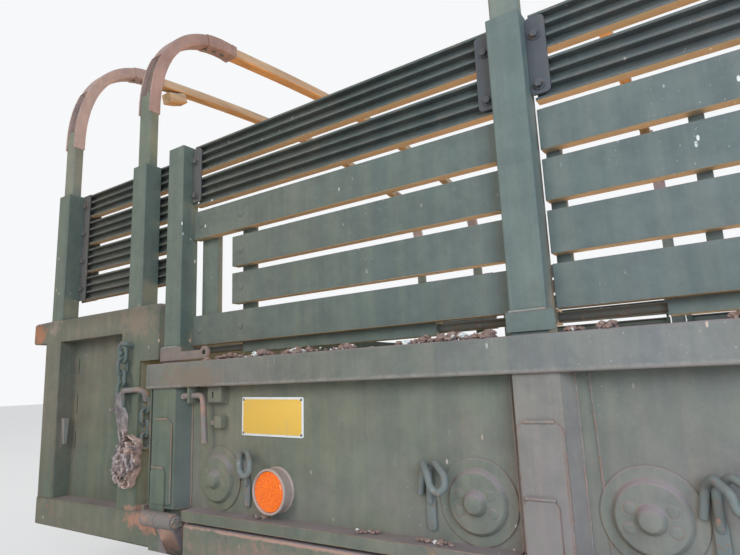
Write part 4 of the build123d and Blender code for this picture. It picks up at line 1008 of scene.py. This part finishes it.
# Bolts on the rack boards and stakes, and what stands on the fixed sections' panels
EAR_X, EAR_Z = STAKES[0] - 0.126, 0.57
EAR_ROWS = mm([(13.5, 0), (14.5, 1), (14.5, 6.2), (13.5, 7.2), (6.2, 7.2), (6, 6), (0, 6)])
PANEL_Y = FIXED_Y - 0.048
BOSS_X, BOSS_Z = POST_B + 0.1, 0.292
for word in SIDES:
    bolts = Shape("angle", "bolt", "stake", "weld", "painted_shade_fill", "fixed", "collar")
    for i, x in enumerate(STAKES):
        for bx in ([x - 0.046] if i < 4 else []) + ([x + 0.046] if i > 0 else []):
            for z in (0.97, 1.062):
                bolts.bolt((bx, PLANK_Y + 0.004, z), 0.0072, 0.0062, washer=0.01)
        y, z = STAKE_OUT + 0.004, COLLAR_TOP - 0.0015
        bolts.bead((x - 0.03, y, z), (x + 0.03, y, z), 0.0026, "weld")
    bolts.lathe((EAR_X, STAKE_OUT - 0.001, EAR_Z), EAR_ROWS, "collar", sides=24)
    # Painted shade: a near-black dome fills the ear's hole, standing in for the shade inside it.
    bolts.rivet((EAR_X, STAKE_OUT + 0.0045, EAR_Z), 0.0048, 0.0036, "painted_shade_fill")
    for row in range(2, 6):
        z = SEAT_Z + row * PITCH + PLANK_H / 2
        bolts.bolt((POST_A - 0.046, RACK_OUT + 0.0038, z), 0.008, 0.006, washer=0.0115)
    bolts.lathe((BOSS_X, PANEL_Y, BOSS_Z), DISH_ROWS[:9] + [(0, 0.0132)], "fixed")
    for dx in (-0.02, 0.02):
        for dz in (-0.02, 0.02):
            bolts.rivet((BOSS_X + dx, PANEL_Y + 0.013, BOSS_Z + dz), 0.007, 0.0026, "fixed")
    # Painted shade: thin near-black strips stand in for the shade inside the panel's slits.
    for z0, z1 in ((0.545, 0.59), (0.43, 0.485), (0.33, 0.38)):
        bolts.box((POST_A - 0.064, PANEL_Y - 0.0005, z0), (POST_A - 0.0615, PANEL_Y + 0.0006, z1), "painted_shade_fill")
    bolts.box((POST_A - 0.044, 1.144, 0.335), (POST_A - 0.0408, 1.172, 0.412), "fixed", 0.0012)
    wedge = [(1.172, 0.418), (1.154, 0.418), (1.158, 0.345), (1.167, 0.345)]
    bolts.bar(wedge, POST_A - 0.0405, POST_A - 0.054, "weld", 0.0012)
    bolts.on_side("fasteners", word, body="root")


def ribbon(bm, centre, width, rows, fray, threads=0.55):
    """A strip of webbing along a list of points, its depth along Y, with a frayed outer edge."""
    grid = []
    for p in centre:
        n = noise.noise_vector(p * 60)
        row = []
        for j in range(rows + 1):
            t = j / rows
            q = p + Vector((n.x * 0.0035 * t, (t - 0.4) * width, n.z * 0.0035 * t))
            if j == rows:
                q += noise.noise_vector(p * 420) * fray
            row.append(bm.verts.new(q))
        grid.append(row)
    for low, high in zip(grid, grid[1:]):
        for j in range(rows):
            bm.faces.new((low[j], low[j + 1], high[j + 1], high[j]))
    for low, high in zip(grid[::2], grid[1::2]):
        if random.random() < threads:
            middle = (low[-1].co + high[-1].co) / 2
            away = Vector((uniform(-1, 1), uniform(0.1, 1), uniform(-1, 0.8))).normalized()
            tip = bm.verts.new(middle + away * uniform(0.003, 0.009))
            bm.faces.new((low[-1], high[-1], tip))


def rag_sheet():
    """A torn web strap: a pleated neck through the chain, and a crumpled rosette of its folds below."""
    x0, y0, rosette_z, neck_z = POST_B - 0.038, FIXED_Y + 0.024, 0.322, 0.487
    bm = bmesh.new()
    for k in range(5):
        rx, rz = 0.008 + 0.009 * k, 0.022 + 0.01 * k
        points = []
        for i in range(111):
            a = 2 * pi * i / 110 + k
            swell = 1 + 0.12 * sin(3 * a + 2.1 * k) + 0.07 * sin(7 * a + k)
            u, v = rx * swell * cos(a), rz * swell * sin(a)
            x = x0 + u * 0.96 - v * 0.2
            y = y0 + 0.01 - 0.003 * k + 0.004 * sin(2 * a + 1.3 * k)
            z = rosette_z + u * 0.2 + v * 0.92
            points.append(Vector((x, y, z)) + noise.noise_vector(Vector((u * 70, v * 70, k))) * 0.0045)
        ribbon(bm, points, 0.026 - 0.0014 * k, 4, 0.0018, 0.35)
    for k in range(3):
        points = []
        for i in range(41):
            t = i / 40
            x = POST_B + 0.004 - 0.036 * t ** 1.6 + (k - 1) * (0.006 + 0.006 * t) + 0.003 * sin(9 * t + k)
            points.append(Vector((x, y0 - 0.002 + 0.003 * sin(11 * t + 2 * k), neck_z - 0.128 * t)))
        ribbon(bm, points, 0.017 + 0.003 * (k == 1), 4, 0.0005, 0.04)
    flap = [Vector((POST_B + 0.004 + 0.03 * i / 12, y0 + 0.004 * sin(i), 0.448 + 0.01 * sin(i * 0.5)))
            for i in range(13)]
    ribbon(bm, flap, 0.016, 3, 0.003)
    # The outer boundary faces take the pale edge cloth, faces above 0.392 the lighter neck cloth, the rest
    # the main cloth.
    for f in bm.faces:
        at = f.calc_center_median()
        f.material_index = int(any(e.is_boundary for e in f.edges) and abs(at.y) > 1.2165)
        if at.z > 0.392:
            f.material_index = 2
    shape = Shape("cloth", "cloth_edge", "cloth_neck", bm=bm)
    return shape.piece("torn_rag", "root", 1, ("torn_strap",), 60)


rag = rag_sheet()

# Dry leaves and dirt in clumps along the gates' top rails and ledges
for word in SIDES:
    litter = Shape("leaf", "dropping")
    for n in range(52):
        on_rail = n % 4 != 0
        cx = uniform(GATE_REAR + 0.1, GATE_FRONT - 0.15)
        spread = choice((0.01, 0.018, 0.03)) if on_rail else 0.016
        for m in range(choice((7, 16, 30))):
            off = gauss(0, 1)
            x = cx + off * spread
            y = uniform(1.188, 1.2145) if on_rail else uniform(1.187, 1.21)
            at_stake = min(abs(x - stake) for stake in STAKES) < 0.06
            if at_stake or not on_rail and min(abs(x - post) for post in POSTS) < 0.09:
                continue
            size = choice((0.0026, 0.004, 0.0058, 0.0076)) * (1 if on_rail else 0.6)
            z = (GATE_TOP if on_rail else 0.23) + random.random() * 0.009 * exp(-off * off) * on_rail
            part = bmesh.new()
            ops.create_icosphere(part, subdivisions=2 if size > 0.004 else 1, radius=size)
            for v in part.verts:
                v.co += noise.noise_vector(v.co * 260 + Vector((n, m, 0))) * size * 0.9
                v.co.z = v.co.z * 0.6 + size * 0.35
            place = Matrix.Translation((x, y, z)) @ Matrix.Rotation(m, 4, "Z")
            litter.take(part, "leaf" if m % 9 else "dropping", place)
    litter.on_side("litter", word, slot=None)

# Floor, which also glows a little where the camera sees it
bpy.ops.mesh.primitive_plane_add(size=60, location=(0, 0, -0.002))
ground = bpy.context.object
ground.name = "ground"
paving = Graph("ground_paint")
shade = paving.mix(paving.noise(0.8, 3), (0.78, 0.78, 0.77), (0.84, 0.84, 0.83))
paving.give(paving.shader.inputs["Base Color"], shade)
paving.give(paving.shader.inputs["Roughness"], 0.9)
glow = paving.node("Emission", {"Color": (0.9, 0.91, 0.92, 1), "Strength": 1})
direct = paving.mul(paving.node("LightPath").outputs["Is Camera Ray"], 0.6)
blend = paving.node("MixShader", {0: direct, 1: paving.shader.outputs[0], 2: glow.outputs[0]})
paving.give(paving.out.inputs["Surface"], blend.outputs[0])
ground.data.materials.append(paving.mat)
